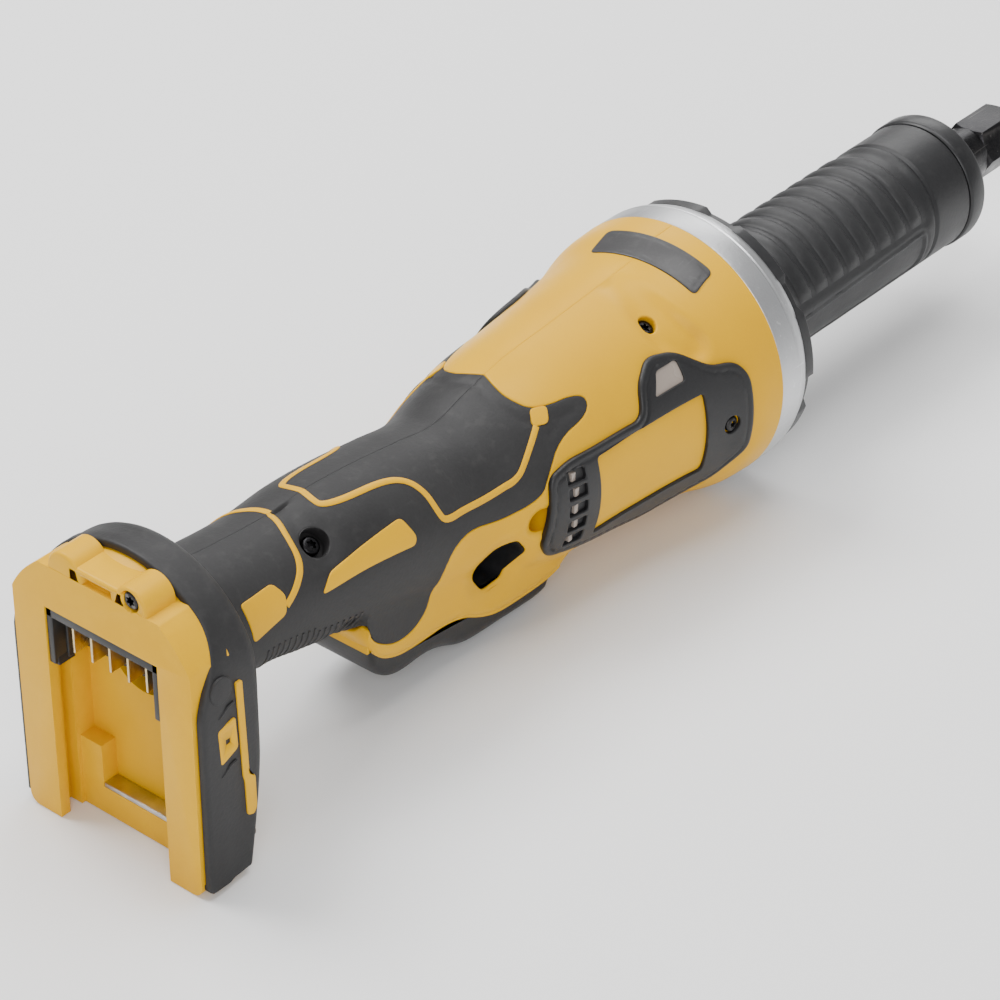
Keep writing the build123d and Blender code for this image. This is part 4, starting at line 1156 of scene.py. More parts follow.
STATIONS = (
    Station(-421, 13.5, 25.5, 25.5),
    Station(-410, 13.8, 22.0, 22.0),
    Station(-398, 13.6, 20.8, 20.9),
    Station(-382, 11.5, 21.7, 21.7),
    Station(-362, 9.8, 24.0, 23.7),
    Station(-343, 7.4, 25.0, 25.0),
    Station(-325, 4.2, 25.9, 25.7),
    Station(-306, 1.2, 27.0, 26.5),
    Station(-294, 0.2, 31.4, 29.5),
    Station(-279, 0.0, 35.3, 32.9),
    Station(-255, 0.0, 37.7, 35.1),
    Station(-229, 0.0, 40.1, 38.3),
    Station(-215, 0.0, 41.7, 41.2),
    Station(-204, 0.0, 44.5, 44.4),
    Station(-193, 0.0, 45.3, 45.3),
)


@dataclass(frozen=True)
class Flare:
    """A soft recess round a hole, seen from the side."""

    place: float
    height: float
    reach: float
    depth: float
    right_only: bool = True
    drift: tuple[float, float] = (0.0, 0.0)


class BodySurface:
    """The outer surface of the housing: round sections with a flat-sided skirt below them."""

    SKIRT_HALF_WIDTH = 21.0
    SKIRT = ((-361.6, -4.0), (-361.2, -12.0), (-357.0, -20.5), (-350.0, -25.0), (-341.0, -26.6),
             (-321.0, -26.2),
             (-306.0, -34.6), (-295.0, -36.0), (-273.0, -36.0), (-266.0, -30.0), (-259.0, -22.0),
             (-257.0, -8.0))
    FLARES = (
        Flare(-374.0, 28.2, 9.0, 1.6),
        Flare(-367.0, -5.0, 7.0, 1.0),
        Flare(-292.5, -2.2, 6.5, 2.2, True, (0.0, 0.0)),
        Flare(-226.0, 33.0, 10.0, 2.4, True, (5.0, -6.0)),
        Flare(-226.0, -33.0, 10.0, 2.4, True, (5.0, 6.0)),
        Flare(-304.0, -15.0, 15.0, 2.0, False),
    )

    def __init__(self) -> None:
        """Prepares smooth curves through the stations."""
        self.places = np.array([s.place for s in STATIONS])
        self.curves = {
            "rise": np.array([s.rise for s in STATIONS]),
            "height": np.array([s.half_height for s in STATIONS]),
            "width": np.array([s.half_width for s in STATIONS]),
        }
        skirt = np.array(rounded(self.SKIRT, 2))
        self.skirt_x, self.skirt_z = skirt[:, 0], skirt[:, 1]

    def value(self, name: str, x: Field) -> Field:
        """A section size at any place, by a smooth curve through the stations.

        Args:
            name: "rise", "height" or "width".
            x: The places.

        Returns:
            The size at each place.
        """
        places, values = self.places, self.curves[name]
        slopes = np.gradient(values, places)
        index = np.clip(np.searchsorted(places, x) - 1, 0, len(places) - 2)
        span = places[index + 1] - places[index]
        t = np.clip((x - places[index]) / span, -0.1, 1.0)
        h00 = 2 * t**3 - 3 * t**2 + 1
        h10 = t**3 - 2 * t**2 + t
        h01 = -2 * t**3 + 3 * t**2
        h11 = t**3 - t**2
        start = h00 * values[index] + h10 * span * slopes[index]
        return start + h01 * values[index + 1] + h11 * span * slopes[index + 1]

    def base(self, x: Field, angle: Field) -> Points:
        """Points on the plain surface, before its recesses.

        Args:
            x: Places along the tool.
            angle: Angles from the top, positive to the right.

        Returns:
            The points, one row or grid cell each.
        """
        rise = self.value("rise", x)
        high, wide = self.value("height", x), self.value("width", x)
        sine, cosine = np.sin(angle), np.cos(angle)
        ellipse = 1.0 / np.sqrt((sine / wide) ** 2 + (cosine / high) ** 2)
        low = rise - np.interp(x, self.skirt_x, self.skirt_z, left=0.0, right=0.0)
        down = np.maximum(-cosine, 0.0)
        box = (
            (np.abs(sine) / self.SKIRT_HALF_WIDTH) ** 14 + (down / np.maximum(low, 4.0)) ** 14
        ) ** (-1 / 14)
        below = (cosine < 0.05) & (x > self.skirt_x[0]) & (x < self.skirt_x[-1])
        box = np.where(below, np.minimum(box, 60.0), 0.0)
        blend = 1.6
        larger = np.maximum(ellipse, box)
        gap = np.abs(ellipse - box)
        radius = larger + np.where(below, 0.25 * np.maximum(blend - gap, 0.0) ** 2 / blend, 0.0)
        return np.stack([x + 0 * angle, -radius * sine, rise + radius * cosine], -1)

    def drop(self, points: Points) -> Field:
        """How deep the soft recesses are at points of the plain surface.

        Args:
            points: Points on the plain surface.

        Returns:
            Depths along the inward normal.
        """
        x, y, z = points[..., 0], points[..., 1], points[..., 2]
        depth = np.zeros(x.shape)
        for flare in self.FLARES:
            dx, dz = x - flare.place, z - flare.height
            away = np.hypot(dx, dz)
            if flare.drift != (0.0, 0.0):
                length = math.hypot(*flare.drift)
                ux, uz = flare.drift[0] / length, flare.drift[1] / length
                along = np.clip(dx * ux + dz * uz, 0.0, length)
                away = np.hypot(dx - along * ux, dz - along * uz) * (1 + 0.5 * along / length)
            dip = flare.depth * (1 - smooth_step(away, 0.35 * flare.reach, flare.reach))
            side = (y < 0) if flare.right_only else (np.abs(y) > 1.0)
            depth += np.where(side, dip, 0.0)
        return depth

    def points(self, x: Field, angle: Field) -> Points:
        """Points on the finished surface, recesses included."""
        step = 0.01
        here = self.base(x, angle)
        across = self.base(x + 0.2, angle) - self.base(x - 0.2, angle)
        around = self.base(x, angle + step) - self.base(x, angle - step)
        normal = np.cross(across, around)
        normal /= np.maximum(np.linalg.norm(normal, axis=-1, keepdims=True), 1e-9)
        centre = np.stack([x + 0 * angle, 0 * angle, self.value("rise", x) + 0 * angle], -1)
        normal *= np.sign(np.sum(normal * (here - centre), -1, keepdims=True))
        return here - normal * self.drop(here)[..., None]

    def side_angle(self, x: float, z: float) -> float:
        """The angle at which the surface has a given height on the right side."""
        angles = np.linspace(0.0, math.pi, 721)
        heights = self.base(np.full(angles.shape, x), angles)[:, 2]
        order = np.argsort(heights)
        return float(np.interp(z, heights[order], angles[order]))

    def unrolled(self, x: float, z: float, y: float | None = None) -> tuple[float, float]:
        """A surface point in unrolled coordinates: its place and its arc from the top line.

        Args:
            x: Its place along the tool.
            z: Its height.
            y: Its side distance, where the height alone doesn't fix it.

        Returns:
            The place and the arc length.
        """
        rise = float(self.value("rise", np.array(x)))
        angle = self.side_angle(x, z) if y is None else abs(math.atan2(-y, z - rise))
        return x, angle * self.arc_radius(np.array(x))

    def arc_radius(self, x: Field) -> Field:
        """The radius that turns an angle into an arc length."""
        return 0.5 * (self.value("height", x) + self.value("width", x))

    def wrap(
        self, start: float, end: float, low: float, high: float, step: float
    ) -> tuple[Sheet, Field, Field]:
        """A sheet over part of the body between two places and two angles.

        Args:
            start: The first place.
            end: The last place.
            low: The first angle from the top.
            high: The last angle from the top.
            step: The size of a cell.

        Returns:
            The sheet, and the place and angle of each of its points.
        """
        rows = max(int((end - start) / step), 4)
        columns = max(int(abs(high - low) * 34 / step), 4)
        x, angle = np.meshgrid(np.linspace(start, end, rows), np.linspace(low, high, columns), indexing="ij")
        grid = self.points(x, angle)
        outward = grid.copy()
        outward[..., 0] = 0
        outward[..., 2] -= self.value("rise", x)
        return Sheet.from_grid(grid, outward), x.ravel(), angle.ravel()

    def side_sheet(
        self, side: Side, low: tuple[float, float], high: tuple[float, float], step: float
    ) -> tuple[Sheet, Field, Field]:
        """A sheet over a window of one side, square in the side view.

        Args:
            side: The side it lies on.
            low: The lowest place and height.
            high: The highest place and height.
            step: The size of a cell.

        Returns:
            The sheet, and the place and height of each of its points.
        """
        rows, columns = int((high[0] - low[0]) / step), int((high[1] - low[1]) / step)
        x, z = np.meshgrid(
            np.linspace(low[0], high[0], rows), np.linspace(low[1], high[1], columns), indexing="ij"
        )
        angles = np.linspace(0.0, math.pi, 361)
        depth = np.zeros(x.shape)
        for row in range(rows):
            ring = self.base(np.full(angles.shape, x[row, 0]), angles)
            order = np.argsort(ring[:, 2])
            depth[row] = np.interp(z[row], ring[order, 2], ring[order, 1])
        grid = np.stack([x, side.value * np.abs(depth), z], -1)
        outward = grid.copy()
        outward[..., 0] = 0
        return Sheet.from_grid(grid, outward), x.ravel(), z.ravel()


BODY = BodySurface()


def lifted(x: Field, angle: Field, lift: Field | float) -> Points:
    """Points standing above the body's surface.

    Args:
        x: Places along the tool.
        angle: Angles from the top, positive to the right.
        lift: Heights along the outward normal.

    Returns:
        The points.
    """
    here = BODY.points(x, angle)
    across = BODY.points(x + 0.3, angle) - BODY.points(x - 0.3, angle)
    around = BODY.points(x, angle + 0.01) - BODY.points(x, angle - 0.01)
    normal = np.cross(across, around)
    normal /= np.maximum(np.linalg.norm(normal, axis=-1, keepdims=True), 1e-9)
    centre = np.stack([x, 0 * angle, BODY.value("rise", x)], -1)
    normal *= np.sign(np.sum(normal * (here - centre), -1, keepdims=True))
    return here + normal * np.asarray(lift)[..., None]


def torx_screw(name: str, head: float, height: float) -> Piece:
    """A button-headed screw with a star socket, its head top at the origin facing +Z.

    Args:
        name: The scratch object's name.
        head: The radius of the head.
        height: The height of the head.

    Returns:
        The screw as a template.
    """
    segments = 36
    angles = np.linspace(0, 2 * math.pi, segments, endpoint=False)
    star = 1 + 0.2 * np.cos(6 * angles)

    def ring(radius: Field | float, z: float) -> Points:
        """One ring of the screw."""
        spread = np.broadcast_to(radius, angles.shape)
        return np.stack([spread * np.cos(angles), spread * np.sin(angles), np.full(segments, z)], 1)

    socket = 0.42 * head
    rings = [ring(0.4 * head, -height - 2), ring(0.4 * head, -height), ring(0.97 * head, -height),
             ring(head, -0.8 * height),
             ring(head, -0.45 * height), ring(0.93 * head, -0.18 * height), ring(0.8 * head, -0.03 * height),
             ring(0.62 * head, 0.0), ring(star * socket * 1.08, 0.0), ring(star * socket, -0.12 * height),
             ring(star * socket, -0.65 * height), ring(0.3 * socket, -0.7 * height)]
    return loft(name, rings, 40.0)


@dataclass
class Housing:
    """The two yellow shells, their rubber overmould and its yellow inlays."""

    cell: float = 1.15
    wall: float = 1.1
    edge: float = 0.5
    seam: float = 0.2
    line_half_width: float = 1.05
    band_height: float = 4.6
    bay_half_width: float = 18.6
    bay_rear: float = -358.6
    bay_front: float = -271.5
    screw_bores: tuple = ((-367.0, -5.0, 4.0), (-292.0, -2.0, 3.9))
    tilted_bores: tuple = ((-374.0, 28.2, 4.6), (-229.0, 34.6, 3.1), (-229.0, -34.2, 3.1))
    eye: tuple = (
        (-313.5, -15.5), (-308.5, -7.0), (-299.5, -6.6), (-294.3, -13.5), (-299.5, -22.4), (-308.5, -22.8)
    )
    rubber_edge: tuple = (
        (160.5, 35.6, 0.0), (158.5, 35.0, -6.0), (158.0, 33.6, -12.0), (162.0, 30.5, -20.5),
        (180.5, 29.8, -24.0),
        (177.5, 24.0, -28.0), (163.5, 21.5, -28.0), (156.5, 12.5, None), (152.5, 6.2, None),
        (137.0, 5.7, None),
        (124.0, 8.6, None), (114.0, 4.0, None), (112.0, -12.0, None), (106.0, -18.5, None),
        (96.0, -19.6, None),
        (87.0, -14.0, None), (84.0, -8.5, None),
    )
    line_one: tuple = (
        (80.4, 33.6, 0.0), (79.6, 33.0, -5.0), (80.0, 32.6, -8.0), (87.5, 32.0, -10.0), (103.0, 31.0, -11.0),
        (110.0, 29.0, -13.5), (113.2, 25.0, -18.0), (114.0, 18.5, None), (115.5, 15.0, None),
        (125.5, 14.6, None),
        (139.4, 14.0, None), (146.7, 14.6, None), (151.6, 19.0, None), (159.5, 27.5, -23.0),
    )
    line_two: tuple = (
        (67.0, 33.8, 0.0), (66.4, 33.2, -4.0), (64.2, 32.0, -9.5), (62.0, 26.0, -17.0), (57.0, 21.5, None),
        (51.5, 18.6, None),
    )
    pad_one: tuple = ((158.2, 27.8, -22.8), (160.8, 31.4, -18.6), (166.2, 30.8, -21.0), (163.4, 27.0, -24.6))
    tab_two: tuple = (
        (36.0, 25.6, -16.2), (49.6, 26.2, -16.8), (52.6, 21.8, None), (51.0, 16.6, None), (37.0, 15.0, None)
    )
    inlay: tuple = (
        (69.5, 20.4, None), (65.0, 15.8, None), (101.6, 14.4, None), (103.0, 16.6, None), (100.0, 23.0, None)
    )

    def unroll(self, outline: Sequence[tuple]) -> list[tuple[float, float]]:
        """Turns (distance, height, side) points into unrolled surface points."""
        return [BODY.unrolled(at(s), z, y) for s, z, y in outline]

    def rubber_polygon(self) -> list[tuple[float, float]]:
        """The overmould's outline on the unrolled surface."""
        edge = rounded(self.unroll(self.rubber_edge), 2)
        end = edge[-1][0]
        return [(-480.0, -30.0), (edge[0][0], -30.0), *edge, (end, 150.0), (-480.0, 150.0)]

    def bores(self, side: Side, points: Points) -> Field:
        """Distance outside the screw bores and the lanyard eye, in the side view."""
        x, z = points[:, 0], points[:, 2]
        clear = -polygon_distance(x, z, soft_corners(self.eye, 2.0))
        if side is Side.RIGHT:
            for place, height, radius in self.screw_bores:
                clear = np.minimum(clear, np.hypot(x - place, z - height) - radius)
            for place, height, radius in self.tilted_bores:
                mouth, _ = self.facing(place, height)
                clear = np.minimum(clear, np.linalg.norm(points - mouth, axis=1) - radius)
        return clear

    @staticmethod
    def facing(place: float, height: float) -> tuple[Points, Points]:
        """A point of the right side's surface and the outward direction there."""
        x, angle = np.array(place), np.array(abs(BODY.side_angle(place, height)))
        mouth = BODY.points(x, angle)
        return mouth, lifted(x, angle, 1.0) - mouth

    def skin(self, side: Side, rubber: bool) -> Sheet:
        """The sheet of one side's shell or overmould.

        Args:
            side: The side it covers.
            rubber: Whether it is the overmould and not the shell.

        Returns:
            The sheet with its fields "outline", "seam" and "bores".
        """
        start, end = (-420.5, -262.0) if rubber else (-364.0, -193.2)
        low, high = (0.0, math.pi) if side is Side.RIGHT else (-math.pi, 0.0)
        sheet, x, angle = BODY.wrap(start, end, low, high, self.cell)
        arc = np.abs(angle) * BODY.arc_radius(x)
        outline = polygon_distance(x, arc, self.rubber_polygon())
        plain = BODY.base(x, angle)
        band = np.interp(x, BODY.skirt_x, BODY.skirt_z, left=-99.0, right=-99.0) + self.band_height
        outline = np.minimum(outline, plain[:, 2] - band)
        if not rubber:
            y, z = plain[:, 1], plain[:, 2]
            ends = np.maximum(self.bay_rear - x, x - self.bay_front)
            bay = np.maximum(np.abs(y) - self.bay_half_width, ends)
            outline = np.minimum(-outline, np.where(z > -5.0, 99.0, bay))
        sheet.fields = {
            "outline": outline,
            "seam": np.abs(plain[:, 1]) + 1e-3,
            "bores": self.bores(side, sheet.points),
            "top": np.abs(angle),
        }
        return sheet

    def half(self, side: Side, rubber: bool) -> Piece:
        """One half of the shells or of the overmould.

        Args:
            side: The side it covers.
            rubber: Whether it is the overmould and not the shell.

        Returns:
            The piece.
        """
        sheet = self.skin(side, rubber)
        sheet.rounded_to("outline", self.edge)
        sheet.rounded_to("bores", self.edge)
        for level in (0.25 * self.seam, self.seam):
            sheet.cut("seam", level)
        fields = sheet.fields
        lift = -quarter_round(fields["outline"], self.edge) - quarter_round(fields["bores"], self.edge)
        lift -= 0.8 * quarter_round(fields["seam"], self.seam)
        if rubber:
            away = np.abs(fields["outline"] - 4.2)
            lift -= 0.45 * (1 - smooth_step(away, 0.2, 1.5)) * (1 - smooth_step(fields["top"], 0.75, 0.95))
        kind = "grip_rubber" if rubber else "shell"
        piece = sheet.solid(f"{side.name.lower()}_{kind}_skin", lift, self.wall)
        return finished(piece, RUBBER if rubber else YELLOW, f"{side.name.lower()}_{kind}")

    def strip(self, side: Side, name: str, path: Sequence[tuple]) -> Piece:
        """A yellow line inlaid along a path on the overmould.

        Args:
            side: The side it lies on.
            name: The piece's name.
            path: Its (distance, height, side) points.

        Returns:
            The piece.
        """
        line = np.array(rounded(self.unroll(path), 3))
        steps = np.concatenate([[0], np.cumsum(np.hypot(*np.diff(line, axis=0).T))])
        even = np.arange(0, steps[-1], 0.9)
        line = np.stack([np.interp(even, steps, line[:, 0]), np.interp(even, steps, line[:, 1])], 1)
        heading = np.gradient(line, axis=0)
        heading /= np.linalg.norm(heading, axis=1, keepdims=True)
        across = np.stack([-heading[:, 1], heading[:, 0]], 1)
        half = self.line_half_width
        profile = (
            (-half, -0.6), (-half, 0.12), (-0.75 * half, 0.3), (0, 0.36), (0.75 * half, 0.3), (half, 0.12),
            (half, -0.6)
        )
        rows = []
        for offset, lift in profile:
            run = line + across * offset
            angle = -side.value * run[:, 1] / BODY.arc_radius(run[:, 0])
            rows.append(lifted(run[:, 0], angle, lift))
        rings = list(np.stack(rows, 1))
        piece = loft(name, rings, 50.0)
        return finished(piece, YELLOW)

    def patch(self, side: Side, name: str, outline: Sequence[tuple]) -> Piece:
        """A yellow panel inlaid in the overmould.

        Args:
            side: The side it lies on.
            name: The piece's name.
            outline: Its (distance, height, side) corners.

        Returns:
            The piece.
        """
        shape = soft_corners(self.unroll(outline), 1.6)
        corners = np.array(shape)
        start, end = corners[:, 0].min() - 1, corners[:, 0].max() + 1
        radius = float(BODY.arc_radius(np.array(0.5 * (start + end))))
        low, high = corners[:, 1].min() / radius - 0.08, corners[:, 1].max() / radius + 0.08
        turn = -side.value
        sheet, x, angle = BODY.wrap(
            start, end, min(turn * low, turn * high), max(turn * low, turn * high), 0.55
        )
        sheet.fields = {"inside": polygon_distance(x, np.abs(angle) * BODY.arc_radius(x), shape)}
        sheet.rounded_to("inside", 0.3)
        piece = sheet.solid(name, 0.34 - quarter_round(sheet.fields["inside"], 0.3), 0.5)
        return finished(piece, YELLOW)

    @staticmethod
    def skin_depth(side: Side, outline: Points) -> Field:
        """How far the skin stands from the middle plane over each point of a side view.

        Args:
            side: The side it is measured on.
            outline: (place, height) points.

        Returns:
            The distances.
        """
        angles = np.linspace(0.0, math.pi, 361)
        depths = []
        for x, z in outline:
            ring = BODY.points(np.full(angles.shape, x), -side.value * angles)
            order = np.argsort(ring[:, 2])
            depths.append(abs(float(np.interp(z, ring[order, 2], ring[order, 1]))))
        return np.array(depths)

    def bore_liner(self, name: str, side: Side, outline: Points, seat: float, finish: Finish) -> Piece:
        """The wall of a bore from the skin to its seat.

        Args:
            name: The piece's name.
            side: The side it opens on.
            outline: The bore's outline as (place, height) points.
            seat: The side distance at which it ends.
            finish: Its finish.

        Returns:
            The piece.
        """
        centre = outline.mean(0)
        grown = outline + (outline - centre) / np.linalg.norm(outline - centre, axis=1, keepdims=True) * 0.9
        mouth = np.maximum(self.skin_depth(side, outline) - 0.45, seat + 0.05)
        rim = np.maximum(
            np.minimum(self.skin_depth(side, grown), self.skin_depth(side, outline)) - 1.6, seat + 0.02
        )
        floor = np.full(len(mouth), seat)
        rings = []
        for loop, depth in ((outline, mouth), (outline, floor), (grown, floor), (grown, rim)):
            rings.append(np.stack([loop[:, 0], side.value * depth, loop[:, 1]], 1))
        piece = loft(name, rings, 40.0, open_ends=True)
        return finished(piece, finish)

    def bores_and_screws(self) -> None:
        """The bores of the screws, the screws in them, and the walls of the lanyard eye, made black as
        painted shade.
        """
        turn = np.linspace(0, 2 * math.pi, 40, endpoint=False)
        for index, (place, height, radius) in enumerate(self.screw_bores):
            circle = np.stack([place + radius * np.cos(turn), height + radius * np.sin(turn)], 1)
            finish = RUBBER if index < 1 else YELLOW
            self.bore_liner(f"screw_bore_{index + 1}", Side.RIGHT, circle, 10.0, finish)
            seat = prism(
                f"screw_seat_{index + 1}",
                [(0.98 * radius * math.cos(t), 0.98 * radius * math.sin(t)) for t in turn],
                lambda u, v, h, x=place, z=height: (x + u, -10.0 - h, z + v),
                2.0,
                0.3,
            )
            finished(seat, finish)
        places = [(place, -13.0, height) for place, height, _ in self.screw_bores]
        turns = [(math.pi / 2, 0.4 * i, 0) for i in range(len(places))]
        for index, (place, height, radius) in enumerate(self.tilted_bores):
            mouth, outward = self.facing(place, height)
            aim = Vector(outward).to_track_quat("Z", "Y")
            profile = [
                (-0.35, radius), (-4.6, radius), (-4.6, 0.0), (-5.6, 0.0), (-5.6, radius + 1.0),
                (-1.4, radius + 1.0)
            ]
            rings = []
            for h, r in profile:
                spokes = [Vector((r * math.cos(t), r * math.sin(t), h)) for t in turn]
                rings.append(np.array([tuple(Vector(mouth) + aim @ spoke) for spoke in spokes]))
            cup = loft(f"tilted_bore_{index + 1}", rings, 40.0, open_ends=True)
            finished(cup, RUBBER if index == 0 else YELLOW)
            places.append(tuple(mouth - 2.0 * outward))
            turns.append(tuple(aim.to_euler()))
        screws = Repeater.on_points(
            "housing_screw_heads", torx_screw("screw_template", 3.0, 2.2), places, turns, OXIDE.material()
        )
        finished(screws, OXIDE, "housing_screws", keep_material=True)
        # The eye's walls take the black finish as painted shade, so the through hole reads dark.
        eye = np.array(soft_corners(self.eye, 2.0))
        for side in Side:
            self.bore_liner(f"{side.name.lower()}_eye_wall", side, eye, 0.02, BLACK)

    def bay(self) -> None:
        """The walls and ceiling of the bay that the paddle moves in."""
        x = np.linspace(-358.4, -271.7, 60)
        low = np.interp(x, BODY.skirt_x, BODY.skirt_z) + 0.7
        roof = [(-271.7, -24.0), (-312.0, -24.0), (-319.0, -15.6), (-358.4, -8.6)]
        for side in Side:
            outline = [*zip(x, np.minimum(low, -9.0)), *roof]
            wall = prism(
                f"{side.name.lower()}_bay_wall",
                outline,
                lambda u, v, h, s=side.value: (u, s * (18.55 - h), v),
                1.3,
                0.05,
            )
            finished(wall, YELLOW)
        ceiling = [(-359.4, -18.0), (-358.4, -18.0), (-358.4, -9.6), (-319.0, -16.6), (-312.0, -25.0),
                   (-272.0, -25.0),
                   (-272.0, -34.6), (-270.8, -34.6), (-270.8, -23.8), (-311.4, -23.8), (-318.4, -15.2),
                   (-359.4, -8.2)]
        roof_piece = prism("bay_ceiling", ceiling, lambda u, v, h: (u, -19.0 - h, v), 38.0, 0.05)
        finished(roof_piece, YELLOW)

    def grip_ridges(self) -> None:
        """Fine ridges across the lower sides of the grip."""
        paths = []
        for side in Side:
            for place in np.arange(-401.0, -364.0, 2.3):
                low = 1.86 if place < -382 else 1.95
                angle = -side.value * np.linspace(low, min(2.75, low + 0.9), 14)
                paths.append(lifted(np.full(14, place) + np.linspace(0, 3.0, 14), angle, -0.12))
        ridges = Repeater.along_paths("grip_ridges", paths, 0.42, RUBBER.material())
        finished(ridges, RUBBER, keep_material=True)

    def build(self) -> None:
        """Builds every piece of the housing."""
        for side in Side:
            prefix = side.name.lower()
            self.half(side, rubber=False)
            self.half(side, rubber=True)
            self.strip(side, f"{prefix}_long_line", self.line_one)
            self.strip(side, f"{prefix}_short_line", self.line_two)
            self.patch(side, f"{prefix}_line_pad", self.pad_one)
            self.patch(side, f"{prefix}_line_tab", self.tab_two)
            self.patch(side, f"{prefix}_grip_inlay", self.inlay)
        self.bores_and_screws()
        self.bay()
        self.grip_ridges()


@dataclass
class SideCovers:
    """The black covers on both sides, with their label fields, windows and intake cells."""

    height: float = 1.6
    outline: tuple = (
        (-292.3, -11.0), (-289.5, 11.8), (-281.0, 14.8), (-250.5, 15.2), (-247.0, 23.5), (-239.5, 28.6),
        (-229.5, 27.4),
        (-219.0, 20.0), (-210.5, 19.0), (-207.2, 14.0), (-207.2, -12.0), (-217.0, -21.0), (-243.0, -25.0),
        (-278.0, -19.0),
        (-288.0, -17.5),
    )
    label: tuple = ((-271.5, -15.2), (-225.2, -13.2), (-225.2, 13.8), (-271.5, 11.8))
    window: tuple = ((-243.0, 18.6), (-230.2, 19.4), (-230.2, 25.2), (-239.0, 24.6))
    cell_place: float = -280.4
    cell_half_length: float = 3.4
    cell_half_height: float = 1.9
    cells: tuple = (-12.4, -6.8, -1.2, 4.4, 9.6)
    screw_place: float = -215.4

    def frame(self, side: Side) -> Piece:
        """The cover's frame, open over the label, the window, the cells and the screw."""
        sheet, x, z = BODY.side_sheet(side, (-294.5, -27.5), (-205.0, 31.0), 0.62)
        inside = polygon_distance(x, z, soft_corners(self.outline, 3.2))
        openings = polygon_distance(x, z, soft_corners(self.label, 1.2))
        openings = np.maximum(openings, polygon_distance(x, z, soft_corners(self.window, 1.0)))
        for height in self.cells:
            cell = np.minimum(
                self.cell_half_length - np.abs(x - self.cell_place),
                self.cell_half_height - np.abs(z - height)
            )
            openings = np.maximum(openings, cell)
        openings = np.maximum(openings, 3.0 - np.hypot(x - self.screw_place, z))
        sheet.fields = {"inside": inside, "clear": -openings}
        sheet.rounded_to("inside", 1.0)
        sheet.rounded_to("clear", 0.35)
        fields = sheet.fields
        lift = self.height - quarter_round(fields["inside"], 1.0) - quarter_round(fields["clear"], 0.35)
        lift -= 0.35 * (1 - smooth_step(np.abs(fields["inside"] - 2.4), 0.1, 0.5))
        piece = sheet.solid(f"{side.name.lower()}_cover_frame", lift, 0.6)
        return finished(piece, BLACK, f"{side.name.lower()}_side_cover")

    def panel(
        self, side: Side, name: str, outline: Sequence[tuple], lift: float, finish: Finish, *nodes: str
    ) -> None:
        """A flat-looking panel that follows the body inside an opening.

        Args:
            side: The side it lies on.
            name: The piece's name.
            outline: Its corners in the side view.
            lift: How far it stands above the body.
            finish: Its finish.
            *nodes: The CAD nodes it stands for.
        """
        corners = np.array(outline)
        low, high = corners.min(0) - 0.8, corners.max(0) + 0.8
        sheet, x, z = BODY.side_sheet(side, tuple(low), tuple(high), 0.7)
        sheet.fields = {"inside": polygon_distance(x, z, soft_corners(outline, 1.2)) + 0.3}
        sheet.rounded_to("inside", 0.3)
        piece = sheet.solid(name, lift - quarter_round(sheet.fields["inside"], 0.3), 0.5)
        finished(piece, finish, *nodes)

    def cell_backs(self) -> None:
        """The dark screens behind the intake cells and the pale fins in them."""
        fins, turns = [], []
        for side in Side:
            outline = ((-285.0, -15.2), (-275.8, -15.2), (-275.8, 12.4), (-285.0, 12.4))
            nodes = ("intake_screens",) if side is Side.RIGHT else ()
            self.panel(side, f"{side.name.lower()}_intake_screen", outline, 0.15, INTAKE, *nodes)
            for index, height in enumerate(self.cells):
                angle = BODY.side_angle(self.cell_place, height)
                y = float(BODY.base(np.array(self.cell_place), np.array(angle))[1])
                fins.append((self.cell_place - 0.9 + 0.6 * (index % 2), -side.value * y, height))
                turns.append((0.0, 0.0, 0.0))
        template = block((-0.9, -0.85, -1.5), (0.9, 0.85, 1.5))
        softened(template, 0.25, 2)
        piece = Repeater.on_points("intake_fins", template, fins, turns, GREY_LENS.material())
        finished(piece, GREY_LENS, keep_material=True)

    def screws(self) -> None:
        """The screw that holds each cover, in its recess."""
        places, turns = [], []
        for side in Side:
            angle = BODY.side_angle(self.screw_place, 0.0)
            y = abs(float(BODY.base(np.array(self.screw_place), np.array(angle))[1]))
            places.append((self.screw_place, side.value * (y + 1.3), 0.0))
            turns.append((-side.value * math.pi / 2, 0.3, 0.0))
        template = torx_screw("cover_screw_template", 2.6, 1.6)
        piece = Repeater.on_points("cover_screw_heads", template, places, turns, OXIDE.material())
        finished(piece, OXIDE, "cover_screws", keep_material=True)

    def build(self) -> None:
        """Builds both covers."""
        for side in Side:
            prefix = side.name.lower()
            self.frame(side)
            self.panel(side, f"{prefix}_label_field", self.label, 0.45, YELLOW, f"{prefix}_rating_plate")
            nodes = ("status_lenses",) if side is Side.RIGHT else ()
            self.panel(side, f"{prefix}_window_lens", self.window, 0.9, GREY_LENS, *nodes)
        self.cell_backs()
        self.screws()


@dataclass
class NamePlate:
    """The dark plate on top of the motor housing, left blank."""

    outline: tuple = ((-214.5, 16.0), (-203.5, 17.0), (-200.4, -21.5), (-210.8, -22.5))

    def build(self) -> None:
        """Builds the plate."""
        sheet, _, _ = BODY.wrap(-217.0, -198.0, -0.6, 0.72, 0.6)
        plan = polygon_distance(sheet.points[:, 0], sheet.points[:, 1], soft_corners(self.outline, 2.0))
        sheet.fields = {"inside": plan}
        sheet.rounded_to("inside", 0.35)
        inside = sheet.fields["inside"]
        lift = 0.42 - quarter_round(inside, 0.35) - 0.12 * (1 - smooth_step(np.abs(inside - 1.3), 0.1, 0.35))
        piece = sheet.solid("name_plate_blank", lift, 0.4)
        finished(piece, GREY_PLATE, "name_plate")


